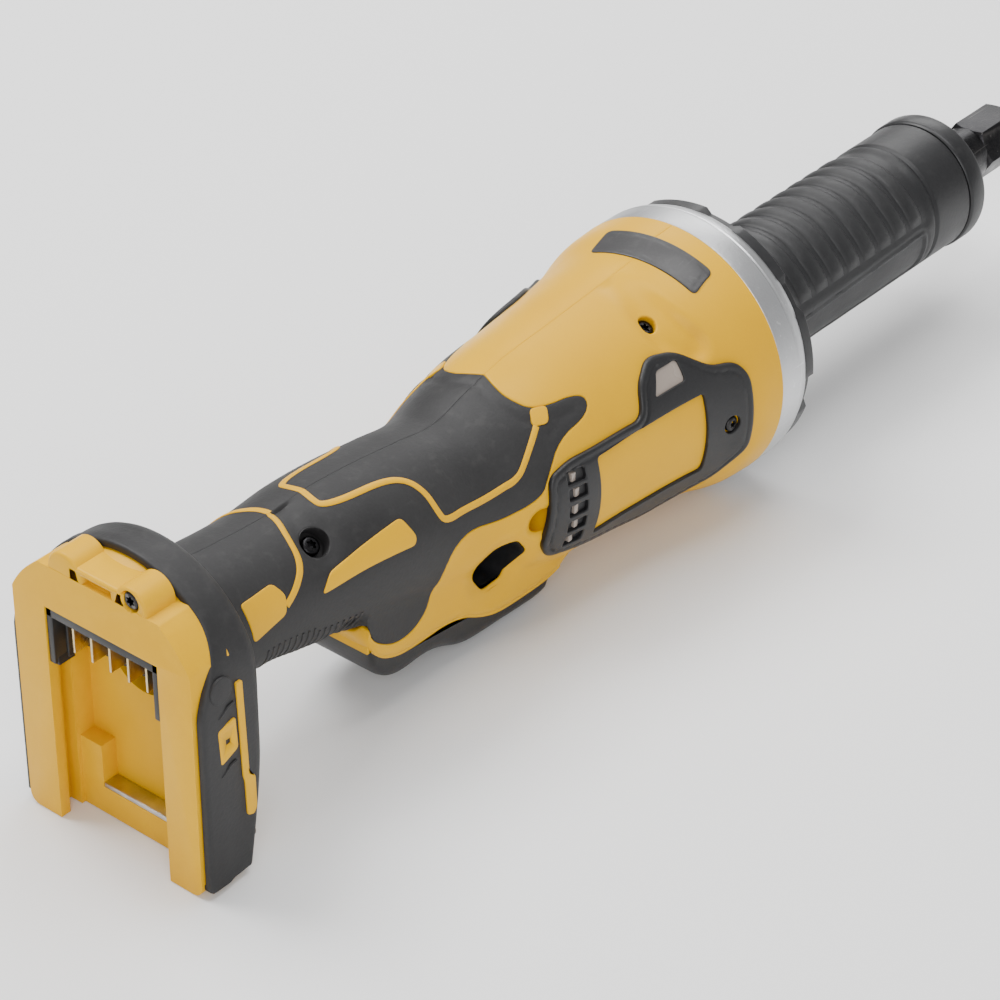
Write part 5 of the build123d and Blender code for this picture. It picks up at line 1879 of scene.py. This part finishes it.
def turned_well(mouth: Sequence[float], radius: float, depth: float) -> Piece:
    """A scratch cylinder along +X that a screw's well is cut with."""
    turn = np.linspace(0, 2 * math.pi, 40, endpoint=False)
    rings = []
    for x in (mouth[0], mouth[0] + depth):
        rings.append(
            np.stack([np.full(40, x), mouth[1] + radius * np.cos(turn), mouth[2] + radius * np.sin(turn)], 1)
        )
    return loft("scratch_well", rings)


@dataclass
class Foot:
    """The battery foot: the yellow rail frame, its hump, the rubber round it and the terminals."""

    half_width: float = 36.5
    shoulder: float = 24.0
    top: float = 50.9
    bottom: float = -44.0
    frame_half_width: float = 33.7
    frame_top: float = 42.4
    recess: float = 10.5
    rear: float = -443.9
    front: float = -419.1
    edge: float = 5.0
    core_share: float = 0.93

    def arch(self, inset: float, half: float | None = None, top: float | None = None) -> Points:
        """An arched outline, drawn in by an inset, as (y, z) points from right to left."""
        half, top = half or self.half_width, top or self.top
        rise = top - self.shoulder
        radius = (half * half + rise * rise) / (2 * rise)
        spread = math.asin(min(1.0, half / radius))
        turn = np.linspace(-spread, spread, 61)
        arc = np.stack([(radius - inset) * np.sin(turn), top - radius + (radius - inset) * np.cos(turn)], 1)
        side_z = np.linspace(self.bottom + min(inset, 3.0), self.shoulder - 4.0, 26)
        right = np.stack([np.full(26, -half + inset), side_z], 1)
        left = np.stack([np.full(26, half - inset), side_z[::-1]], 1)
        outline = np.vstack([right, arc, left])
        for _ in range(8):
            outline[1:-1] = 0.5 * outline[1:-1] + 0.25 * (outline[:-2] + outline[2:])
        return outline

    def rubber(self) -> None:
        """The black rubber that wraps the foot, its rear edge drawn forward over the top."""
        rings = []
        rear = self.rear
        stations = [(rear + 0.9, 2.4), (rear, 2.2), (rear - 0.05, 1.2), (rear + 0.15, 0.5), (rear + 0.8, 0.1),
                    (rear + 2.0, 0.0), (rear + 4.5, 0.0), (rear + 7.5, 0.0), (rear + 10.0, 0.35)]
        count = len(stations)
        for share in np.linspace(0.0, 1.0, 8):
            angle = share * math.pi / 2
            stations.append(
                (self.front - self.edge * (1 - math.sin(angle)), 0.5 + self.edge * (1 - math.cos(angle)))
            )
        stations += [
            (self.front, 8.0), (self.front + 0.02, 12.0), (self.front - 0.5, 16.0), (-424.0, 16.0),
            (-424.0, 4.2), (rear + 3.0, 3.2)
        ]
        for index, (place, inset) in enumerate(stations):
            loop = self.arch(inset)
            drawn = smooth_step(loop[:, 1], 14.0, 41.0)
            if index < count:
                drawn = drawn * (self.recess - 0.45 * (place - rear))
            elif index == len(stations) - 1:
                drawn = drawn * self.recess
            else:
                drawn = 0.0 * drawn
            slant = np.clip((-6.0 - loop[:, 1]) / 40.0, 0.0, 1.0) * np.clip((place + 436.0) / 17.0, 0.0, 1.0)
            x = place + drawn - 7.0 * slant**1.5
            rings.append(np.stack([x, loop[:, 0], loop[:, 1]], 1))
        piece = loft("foot_rubber_wrap", rings, 40.0, open_ends=True)
        carve(piece, block((-447.0, -33.0, -50.0), (-427.0, 33.0, -20.0)))
        finished(piece, RUBBER, "foot_rubber")

    def hood(self) -> None:
        """The yellow shoulders that rise from the frame's face to the rubber."""
        rings = []
        half, top = self.frame_half_width, self.frame_top
        for x, share, inset in ((-443.2, 0.0, 6.5), (-444.7, 0.0, 6.0), (-444.9, 0.0, 1.6),
                                (-444.6, 0.0, 0.6), (-443.9, 0.02, 0.1),
                                (-442.6, 0.08, 0.0), (-440.0, 0.24, 0.0), (-437.0, 0.48, 0.0),
                                (-434.0, 0.76, 0.0), (-431.0, 0.86, 0.4),
                                (-430.5, 0.86, 6.0)):
            wide = half + share * (self.half_width - 2.9 - half)
            loop = self.arch(inset, wide, top + share * (self.top - 1.2 - top))
            rings.append(np.stack([np.full(len(loop), x), loop[:, 0], loop[:, 1]], 1))
        piece = loft("frame_hood", rings, 40.0, open_ends=True)
        carve(piece, block((-447.0, -40.0, -60.0), (-425.0, 40.0, 13.0)))
        finished(piece, YELLOW)

    def frame(self) -> None:
        """The yellow rail frame, softened from the CAD shape without its hump."""
        piece = tidy_copy("battery_frame", "rail_frame")
        bm = bmesh.new()
        bm.from_mesh(piece.data)
        geometry = list(bm.verts) + list(bm.edges) + list(bm.faces)
        cut = bmesh.ops.bisect_plane(
            bm, geom=geometry, plane_co=(0, 0, 0.0425), plane_no=(0, 0, 1), clear_outer=True
        )
        bmesh.ops.holes_fill(
            bm, edges=[e for e in cut["geom_cut"] if isinstance(e, bmesh.types.BMEdge)], sides=0
        )
        bm.to_mesh(piece.data)
        bm.free()
        softened(piece, 0.9, 3, 40.0)
        finished(piece, YELLOW, "battery_frame")

    def hump(self) -> None:
        """The two lobes over the frame, with the saddle and its slot between them."""
        def face(u: float, v: float, h: float) -> tuple[float, float, float]:
            """A place on the frame's rear face."""
            return (-444.9 - h, u, v)

        for side in Side:
            centre = 12.6 * side.value
            turn = np.linspace(math.radians(172), math.radians(8), 15)
            lobe = [
                (centre - 7.0, 39.0),
                *((centre + 6.2 * math.cos(t), 43.2 + 6.2 * math.sin(t)) for t in turn), (centre + 7.0, 39.0)
            ]
            piece = prism(f"{side.name.lower()}_hump_lobe", lobe, face, 11.0, 0.9)
            if side is Side.RIGHT:
                carve(piece, turned_well((-447.0, centre, 45.2), 3.4, 4.6))
            finished(piece, YELLOW)
        piece = prism(
            "hump_saddle", [(-10.4, 40.0), (-10.4, 46.8), (10.4, 46.8), (10.4, 40.0)], face, 11.0, 1.1
        )
        carve(piece, block((-447.0, -5.6, 42.2), (-441.8, 5.6, 45.2)))
        finished(piece, YELLOW)

    def screws(self) -> None:
        """The screw in the hump and the two in front of the toes."""
        places = [(-444.6, -12.6, 45.2), (-421.2, -29.8, -37.0), (-421.2, 29.8, -37.0)]
        turns = [(0, -math.pi / 2, 0), (0, math.pi / 2, 0), (0, math.pi / 2, 0)]
        template = torx_screw("foot_screw_template", 2.9, 2.2)
        piece = Repeater.on_points("foot_screw_heads", template, places, turns, OXIDE.material())
        finished(piece, OXIDE, "frame_screws", keep_material=True)

    def side_marks(self) -> None:
        """The yellow strip and square, the dimple and the short lines on each side."""
        strip = soft_corners(
            [(-430.6, 21.5), (-428.2, 21.5), (-427.0, -11.0), (-424.8, -13.0), (-424.6, -24.0),
            (-426.0, -26.0), (-428.4, -25.0),
             (-428.8, -13.0), (-429.4, -11.0)], 0.8)
        square = soft_corners([(-438.4, 9.6), (-431.4, 11.0), (-430.8, 0.2), (-437.6, -2.6)], 1.2)
        for side in Side:
            prefix, s = side.name.lower(), side.value

            def face(u: float, v: float, h: float, s: int = s) -> tuple[float, float, float]:
                """A place on the flat side of the foot."""
                return (u, s * (36.62 + h), v)

            piece = prism(f"{prefix}_foot_strip", strip, face, 0.9, 0.25)
            finished(piece, YELLOW)
            piece = prism(f"{prefix}_foot_square", square, face, 0.9, 0.3)
            carve(piece, block((-435.6, s * 36.2 - 0.8, 3.4), (-433.6, s * 36.2 + 0.8, 5.4)))
            finished(piece, YELLOW)
            turn = np.linspace(0, 2 * math.pi, 32, endpoint=False)
            pad = prism(
                f"{prefix}_foot_pad", [(-436.0 + 4.2 * math.cos(t), 22.0 + 4.2 * math.sin(t)) for t in turn],
                lambda u, v, h, s=s: (u, s * (36.5 + h), v), 0.9, 0.35,
            )
            finished(pad, RUBBER)
            beads = [
                np.array([[-437.6, s * 36.42, z0], [-434.0, s * 36.42, z0 + 2.2],
                [-431.5, s * 36.42, z0 + 2.6]]) for z0 in (13.4, -6.4)
            ]
            lines = Repeater.along_paths(f"{prefix}_foot_beads", beads, 0.35, RUBBER.material())
            finished(lines, RUBBER, keep_material=True)

    def terminals(self) -> None:
        """The terminal frame with its ears, the blades, the strike plate and the core."""
        piece = softened(tidy_copy("terminal_block", "terminal_frame"), 0.45, 2, 40.0)
        finished(piece, BLACK, "terminal_block")
        bars = (
            ("right", -21.4, 9.0, -19.0, 28.2), ("top", -21.4, 24.8, 21.4, 28.2),
            ("left", 19.0, 9.0, 21.4, 28.2)
        )
        for label, low_y, low_z, high_y, high_z in bars:
            piece = softened(block((-444.6, low_y, low_z), (-435.5, high_y, high_z)), 0.4, 2)
            piece.name = f"terminal_rim_{label}"
            finished(piece, BLACK)
        for side in Side:
            s = side.value
            ear = [
                (s * 19.6, 15.6), (s * 23.6, 15.2), (s * 23.8, 13.4), (s * 21.0, 12.6), (s * 20.6, 9.0),
                (s * 18.6, 9.2)
            ]
            piece = prism(
                f"{side.name.lower()}_terminal_ear", ear, lambda u, v, h: (-443.6 - h, u, v - 0.8), 6.0, 0.3
            )
            finished(piece, BLACK)
        piece = softened(tidy_copy("terminal_blades", "blade_set"), 0.15, 2, 40.0)
        finished(piece, BRASS, "terminal_blades")
        piece = softened(tidy_copy("strike_plate", "strike_bar"), 0.3, 3, 40.0)
        finished(piece, STEEL, "strike_plate")
        piece = softened(tidy_copy("foot_core", "foot_core_block"), 0.9, 3, 40.0)
        for vertex in piece.data.vertices:
            vertex.co.y *= self.core_share
            vertex.co.z *= self.core_share
        finished(piece, YELLOW, "foot_core")

    def build(self) -> None:
        """Builds the foot."""
        self.rubber()
        self.frame()
        self.hood()
        self.hump()
        self.screws()
        self.side_marks()
        self.terminals()


@dataclass
class Paddle:
    """The paddle under the housing and the lock-off lever in it."""

    half_width: float = 17.8
    corner: float = 5.5
    rear: float = -356.4
    front: float = -274.2
    bottom: tuple = ((-356.4, -20.5), (-355.4, -25.5), (-353.0, -30.0), (-348.0, -35.0), (-342.0, -36.8),
                     (-331.0, -36.0),
                     (-323.0, -38.0), (-315.0, -42.0), (-307.0, -43.1), (-285.0, -43.5), (-279.0, -43.2),
                     (-275.5, -41.8), (-274.2, -39.5))
    top: tuple = (
        (-356.4, -17.4), (-351.0, -18.0), (-341.0, -20.2), (-323.0, -21.6), (-311.0, -29.0), (-301.0, -31.5),
        (-274.2, -35.0)
    )

    def section(self, x: float, low: float, high: float) -> Points:
        """One rounded cross-section."""
        height = high - low
        corner = min(self.corner, 0.48 * height)
        small = min(1.2, 0.2 * height)
        points = []
        corners = ((1, 1, small, 0), (-1, 1, small, 90), (-1, -1, corner, 180), (1, -1, corner, 270))
        for sy, sz, radius, start in corners:
            cy = sy * (self.half_width - radius)
            cz = (high - radius) if sz > 0 else (low + radius)
            for step in np.linspace(0, 90, 9):
                angle = math.radians(start + step)
                points.append((x, cy + radius * math.cos(angle), cz + radius * math.sin(angle)))
        return np.array(points)

    def body(self) -> None:
        """The paddle with its lever slot."""
        bottom, top = np.array(rounded(self.bottom, 2)), np.array(self.top)
        rings = []
        for x in np.linspace(self.rear, self.front, 90):
            low = float(np.interp(x, bottom[:, 0], bottom[:, 1]))
            high = float(np.interp(x, top[:, 0], top[:, 1]))
            ring = self.section(x, low, high)
            near_end = min(x - self.rear, self.front - x)
            ring[:, 1] *= 1 - 0.03 * (1 - smooth_step(np.array(near_end), 0.0, 2.0))
            rings.append(ring)
        piece = loft("paddle_grip", rings, 40.0)
        carve(piece, block((-343.0, -5.2, -60.0), (-318.6, 5.2, -28.5)))
        softened(piece, 0.4, 2, 55.0)
        finished(piece, BLACK, "paddle", body="paddle_body")

    def ridges(self) -> None:
        """Cross ridges under the finger rest of the paddle."""
        paths = []
        bottom = np.array(rounded(self.bottom, 2))
        for place in np.arange(-306.0, -284.0, 3.0):
            low = float(np.interp(place, bottom[:, 0], bottom[:, 1]))
            paths.append(np.array([[place, y, low + 0.18] for y in np.linspace(-11.5, 11.5, 6)]))
        piece = Repeater.along_paths("paddle_ridges", paths, 0.5, BLACK.material())
        finished(piece, BLACK, keep_material=True, body="paddle_body")

    def build(self) -> None:
        """Builds the paddle and its lever."""
        self.body()
        self.ridges()
        piece = softened(tidy_copy("lock_off_lever", "lock_lever"), 0.5, 3, 40.0)
        finished(piece, BLACK, "lock_off_lever", body="lock_off")


@dataclass
class FrontRing:
    """The cast ring in front of the housing and the black flange on it."""

    tabs: int = 8
    tab_radius: float = 44.1
    notch_radius: float = 42.4

    def ring(self) -> None:
        """The cast ring with its front bevel and a fine groove."""
        profile = [(-193.2, 40.2), (-193.2, 44.7), (-192.8, 45.15), (-192.2, 45.25), (-184.6, 45.25),
                   (-184.2, 45.0), (-183.8, 45.0),
                   (-183.4, 45.2), (-181.6, 44.9), (-179.2, 43.9), (-178.1, 43.0), (-178.0, 42.6),
                   (-178.0, 34.0), (-182.0, 33.5),
                   (-182.0, 40.2)]
        piece = turned_piece("cast_ring", profile, 160)
        finished(piece, CASTING, "front_ring")

    def flange(self) -> None:
        """The flange, whose tabs reach out over the ring's bevel."""
        outline = []
        for index in range(self.tabs):
            for share, radius in (
                (0.0, self.tab_radius), (0.62, self.tab_radius), (0.68, self.notch_radius),
                (0.94, self.notch_radius)
            ):
                nxt = {0.0: 0.62, 0.62: 0.68, 0.68: 0.94, 0.94: 1.0}[share]
                steps = 9 if nxt - share > 0.1 else 1
                for step in range(steps):
                    turn = 2 * math.pi * (index + share + (nxt - share) * step / steps) / self.tabs + 0.3
                    outline.append((radius * math.cos(turn), radius * math.sin(turn)))
        piece = prism("castellated_flange", outline, lambda u, v, h: (-175.0 + h, u, v), 4.4, 0.6)
        finished(piece, BLACK, "nose_flange")

    def screws(self) -> None:
        """The four screws that hold the nose."""
        spot = 20.2
        places = [(-174.0, y, z) for y in (-spot, spot) for z in (-spot, spot)]
        template = torx_screw("flange_screw_template", 3.0, 1.4)
        piece = Repeater.on_points(
            "flange_screw_heads", template, places, [(0, math.pi / 2, 0)] * 4, OXIDE.material()
        )
        finished(piece, OXIDE, "flange_screws", keep_material=True)

    def build(self) -> None:
        """Builds the ring, the flange and its screws."""
        self.ring()
        self.flange()
        self.screws()


@dataclass
class Nose:
    """The rubber-covered nose with its finger ribs, its side panels and its front cap."""

    radius: float = 22.9
    ribs: int = 8
    rib_start: float = -150.0
    rib_pitch: float = 9.0
    rib_reach: float = 1.32
    sleeve_front: float = -54.0
    sleeve_bore: float = 20.4
    panel_depth: float = 0.75
    panel: tuple = ((-153.0, 1.62), (-81.0, 1.5), (-79.0, 2.32), (-153.0, 2.44))

    def sleeve(self) -> None:
        """The sleeve, turned with its grooves and with a recessed panel on both sides."""
        front, bore = self.sleeve_front, self.sleeve_bore
        x = np.append(np.arange(NOSE_REAR, front, 0.62), front)
        angle = np.linspace(-math.pi, math.pi, 221)[:-1]
        places, turns = np.meshgrid(x, angle, indexing="ij")
        radius = np.full(places.shape, self.radius)
        for groove in (-157.5, -74.5):
            radius -= 0.8 * (1 - smooth_step(np.abs(places - groove), 0.35, 1.3))
        middle = smooth_step(places, -156.0, -152.0) * (1 - smooth_step(places, -80.0, -76.0))
        radius -= self.panel_depth * middle * (1 - smooth_step(np.abs(turns), 1.3, 1.5))
        arc = np.abs(turns) * self.radius
        outline = soft_corners([(px, pa * self.radius) for px, pa in self.panel], 3.0)
        inside = polygon_distance(places, arc, outline)
        radius -= self.panel_depth * smooth_step(inside, -0.2, 0.7)
        radius -= 0.35 * (1 - smooth_step(np.abs(inside + 1.6), 0.2, 0.8)) * middle
        rear_round = 0.9 * (1 - smooth_step(places - NOSE_REAR, 0.0, 0.9))
        radius -= rear_round + 0.5 * (1 - smooth_step(front - places, 0.0, 0.7))
        rings = []
        for row in range(len(x)):
            across, high = -radius[row] * np.sin(turns[row]), radius[row] * np.cos(turns[row])
            rings.append(np.stack([places[row], across, high], 1))
        for end in (front, NOSE_REAR):
            rings.append(np.stack([np.full(len(angle), end), -bore * np.sin(angle), bore * np.cos(angle)], 1))
        piece = loft("nose_sleeve_grip", rings, 45.0, open_ends=True)
        finished(piece, SLEEVE, "nose_sleeve")

    def finger_ribs(self) -> None:
        """The row of finger ribs over the top of the sleeve."""
        arc = np.linspace(-self.rib_reach, self.rib_reach, 61)
        width = 3.5
        rings = []
        for turn in arc:
            fade = 1 - smooth_step(np.array(abs(turn)), self.rib_reach - 0.13, self.rib_reach)
            section = []
            lean = 1.6 * smooth_step(np.array(abs(turn)), 0.7, self.rib_reach)
            for across, lift in ((-1, -0.8), (-1, 0.0), (-0.86, 0.42), (-0.6, 0.72), (-0.2, 0.92),
                                 (0.2, 0.92), (0.6, 0.72), (0.86, 0.42),
                                 (1, 0.0), (1, -0.8)):
                rise = 0.15 + lift if lift > 0 else lift
                radius = self.radius - 0.85 + rise * (0.25 + 0.75 * float(fade))
                section.append(
                    (self.rib_start + across * width + float(lean), -radius * math.sin(turn),
                    radius * math.cos(turn))
                )
            rings.append(np.array(section))
        template = loft("rib_template", rings, 60.0)
        piece = Repeater.in_line(
            "finger_ribs", template, self.ribs, (self.rib_pitch, 0, 0), SLEEVE.material()
        )
        finished(piece, SLEEVE, keep_material=True)

    def cap(self) -> None:
        """The front cap round the bearing."""
        profile = [(-54.0, 20.6), (-54.0, 22.9), (-53.6, 23.35), (-52.8, 23.6), (-47.2, 23.6), (-46.0, 23.2),
                   (-45.3, 22.3), (-45.05, 21.2),
                   (-45.0, 12.4), (-45.6, 11.9), (-46.4, 11.8), (-46.6, 10.1), (-50.5, 10.1), (-52.0, 14.2),
                   (-52.0, 20.6)]
        piece = turned_piece("front_cap", profile, 128)
        finished(piece, BLACK, "nose_cap")

    def nut(self) -> None:
        """The collet nut with rounded corners, and the round collar behind its flats."""
        piece = softened(tidy_copy("collet_nut", "hex_nut"), 0.35, 3, 24.0)
        finished(piece, OXIDE, "collet_nut", body="nut")
        profile = [(-40.5, 7.0), (-40.5, 9.2), (-39.9, 9.8), (-24.5, 9.8), (-22.6, 9.5), (-22.6, 7.0)]
        piece = turned_piece("nut_collar", profile, 96)
        finished(piece, OXIDE, body="nut")

    def build(self) -> None:
        """Builds the nose."""
        self.sleeve()
        self.finger_ribs()
        self.cap()
        self.nut()


class CarriedNodes:
    """The CAD nodes that are shown as they are, each with a finish for its slot."""

    OWN = {"spindle": OXIDE, "dust_seal": RUBBER, "nose_tube": CASTING, "motor_fan": BLACK}

    def build(self) -> None:
        """Dresses every CAD node that no piece stands for."""
        slots = {s["node"]: s["material_slot"] for s in frame["record"]["subparts"]}
        for name, node in frame["nodes"].items():
            if node.hide_render:
                continue
            finish = self.OWN.get(name, SLOT_FINISHES[slots[name]])
            node.data.materials.clear()
            node.data.materials.append(finish.material())
            node.data.shade_smooth()
            LOG.info("%s keeps its CAD shape", name)


@dataclass
class Studio:
    """The floor, the lights and the camera."""

    floor_drop_m: float = 0.0003
    camera_place_m: tuple = (-0.95872, -0.56769, 0.58771)
    yaw: float = 39.777
    pitch: float = 34.187
    roll: float = -0.209
    lens: float = 126.0

    def floor(self) -> None:
        """A wide pale flat floor under the tool."""
        low = CAD_BOX[0][2] - self.floor_drop_m
        size, steps = 6.0, 24
        rows = []
        for i in range(steps + 1):
            share = i / steps
            rows.append([(-size + 2 * size * share, y, low) for y in np.linspace(-size, size, steps + 1)])
        points = [p for row in rows for p in row]
        faces = [(i * (steps + 1) + j, (i + 1) * (steps + 1) + j, (i + 1) * (steps + 1) + j + 1,
                 i * (steps + 1) + j + 1)
                 for i in range(steps) for j in range(steps)]
        mesh = bpy.data.meshes.new("floor")
        mesh.from_pydata(points, [], faces)
        piece = bpy.data.objects.new("floor", mesh)
        bpy.context.scene.collection.objects.link(piece)
        material = bpy.data.materials.new("pale_floor")
        material.use_nodes = True
        shader = material.node_tree.nodes["Principled BSDF"]
        shader.inputs["Base Color"].default_value = (0.86, 0.86, 0.86, 1)
        shader.inputs["Roughness"].default_value = 0.9
        shader.inputs["Specular IOR Level"].default_value = 0.1
        mesh.materials.append(material)

    def lights(self) -> None:
        """Soft area lights and a bright even surround."""
        world = bpy.data.worlds.new("surround")
        world.use_nodes = True
        world.node_tree.nodes["Background"].inputs["Color"].default_value = (1.0, 1.0, 1.0, 1)
        world.node_tree.nodes["Background"].inputs["Strength"].default_value = 0.5
        bpy.context.scene.world = world
        lamps = (
            ("key", (-0.5, 0.9, 1.5), 34.0, 0.9),
            ("fill", (-1.3, -0.9, 0.7), 12.0, 0.8),
            ("top", (0.1, -0.1, 1.8), 22.0, 1.1),
            ("rim", (0.9, 0.6, 0.8), 8.0, 0.8),
        )
        target = Vector((-0.22, 0.0, 0.0))
        for name, place, power, size in lamps:
            data = bpy.data.lights.new(name, "AREA")
            data.energy = power
            data.size = size
            lamp = bpy.data.objects.new(name, data)
            lamp.location = place
            lamp.rotation_euler = (target - Vector(place)).to_track_quat("-Z", "Y").to_euler()
            bpy.context.scene.collection.objects.link(lamp)

    def camera(self) -> None:
        """The camera behind and above the tool's right side."""
        data = bpy.data.cameras.new("camera")
        data.lens = self.lens
        data.sensor_width = 36.0
        data.clip_start, data.clip_end = 0.05, 50.0
        camera = bpy.data.objects.new("camera", data)
        yaw, pitch = math.radians(self.yaw), math.radians(self.pitch)
        ahead = Vector((math.cos(pitch) * math.cos(yaw), math.cos(pitch) * math.sin(yaw), -math.sin(pitch)))
        level = ahead.to_track_quat("-Z", "Y").to_matrix().to_4x4()
        rolled = Matrix.Rotation(math.radians(self.roll), 4, ahead) @ level
        camera.matrix_world = Matrix.Translation(Vector(self.camera_place_m)) @ rolled
        bpy.context.scene.collection.objects.link(camera)
        bpy.context.scene.camera = camera

    def build(self) -> None:
        """Sets up the studio."""
        self.floor()
        self.lights()
        self.camera()


def main() -> None:
    """Builds the sub-assemblies in order."""
    logging.basicConfig(level=logging.INFO, format="%(name)s: %(message)s")
    for part in (
        Housing(), SideCovers(), NamePlate(), Foot(), Paddle(), FrontRing(), Nose(), CarriedNodes(), Studio()
    ):
        LOG.info("building %s", type(part).__name__)
        part.build()


if __name__ == "__main__":
    main()
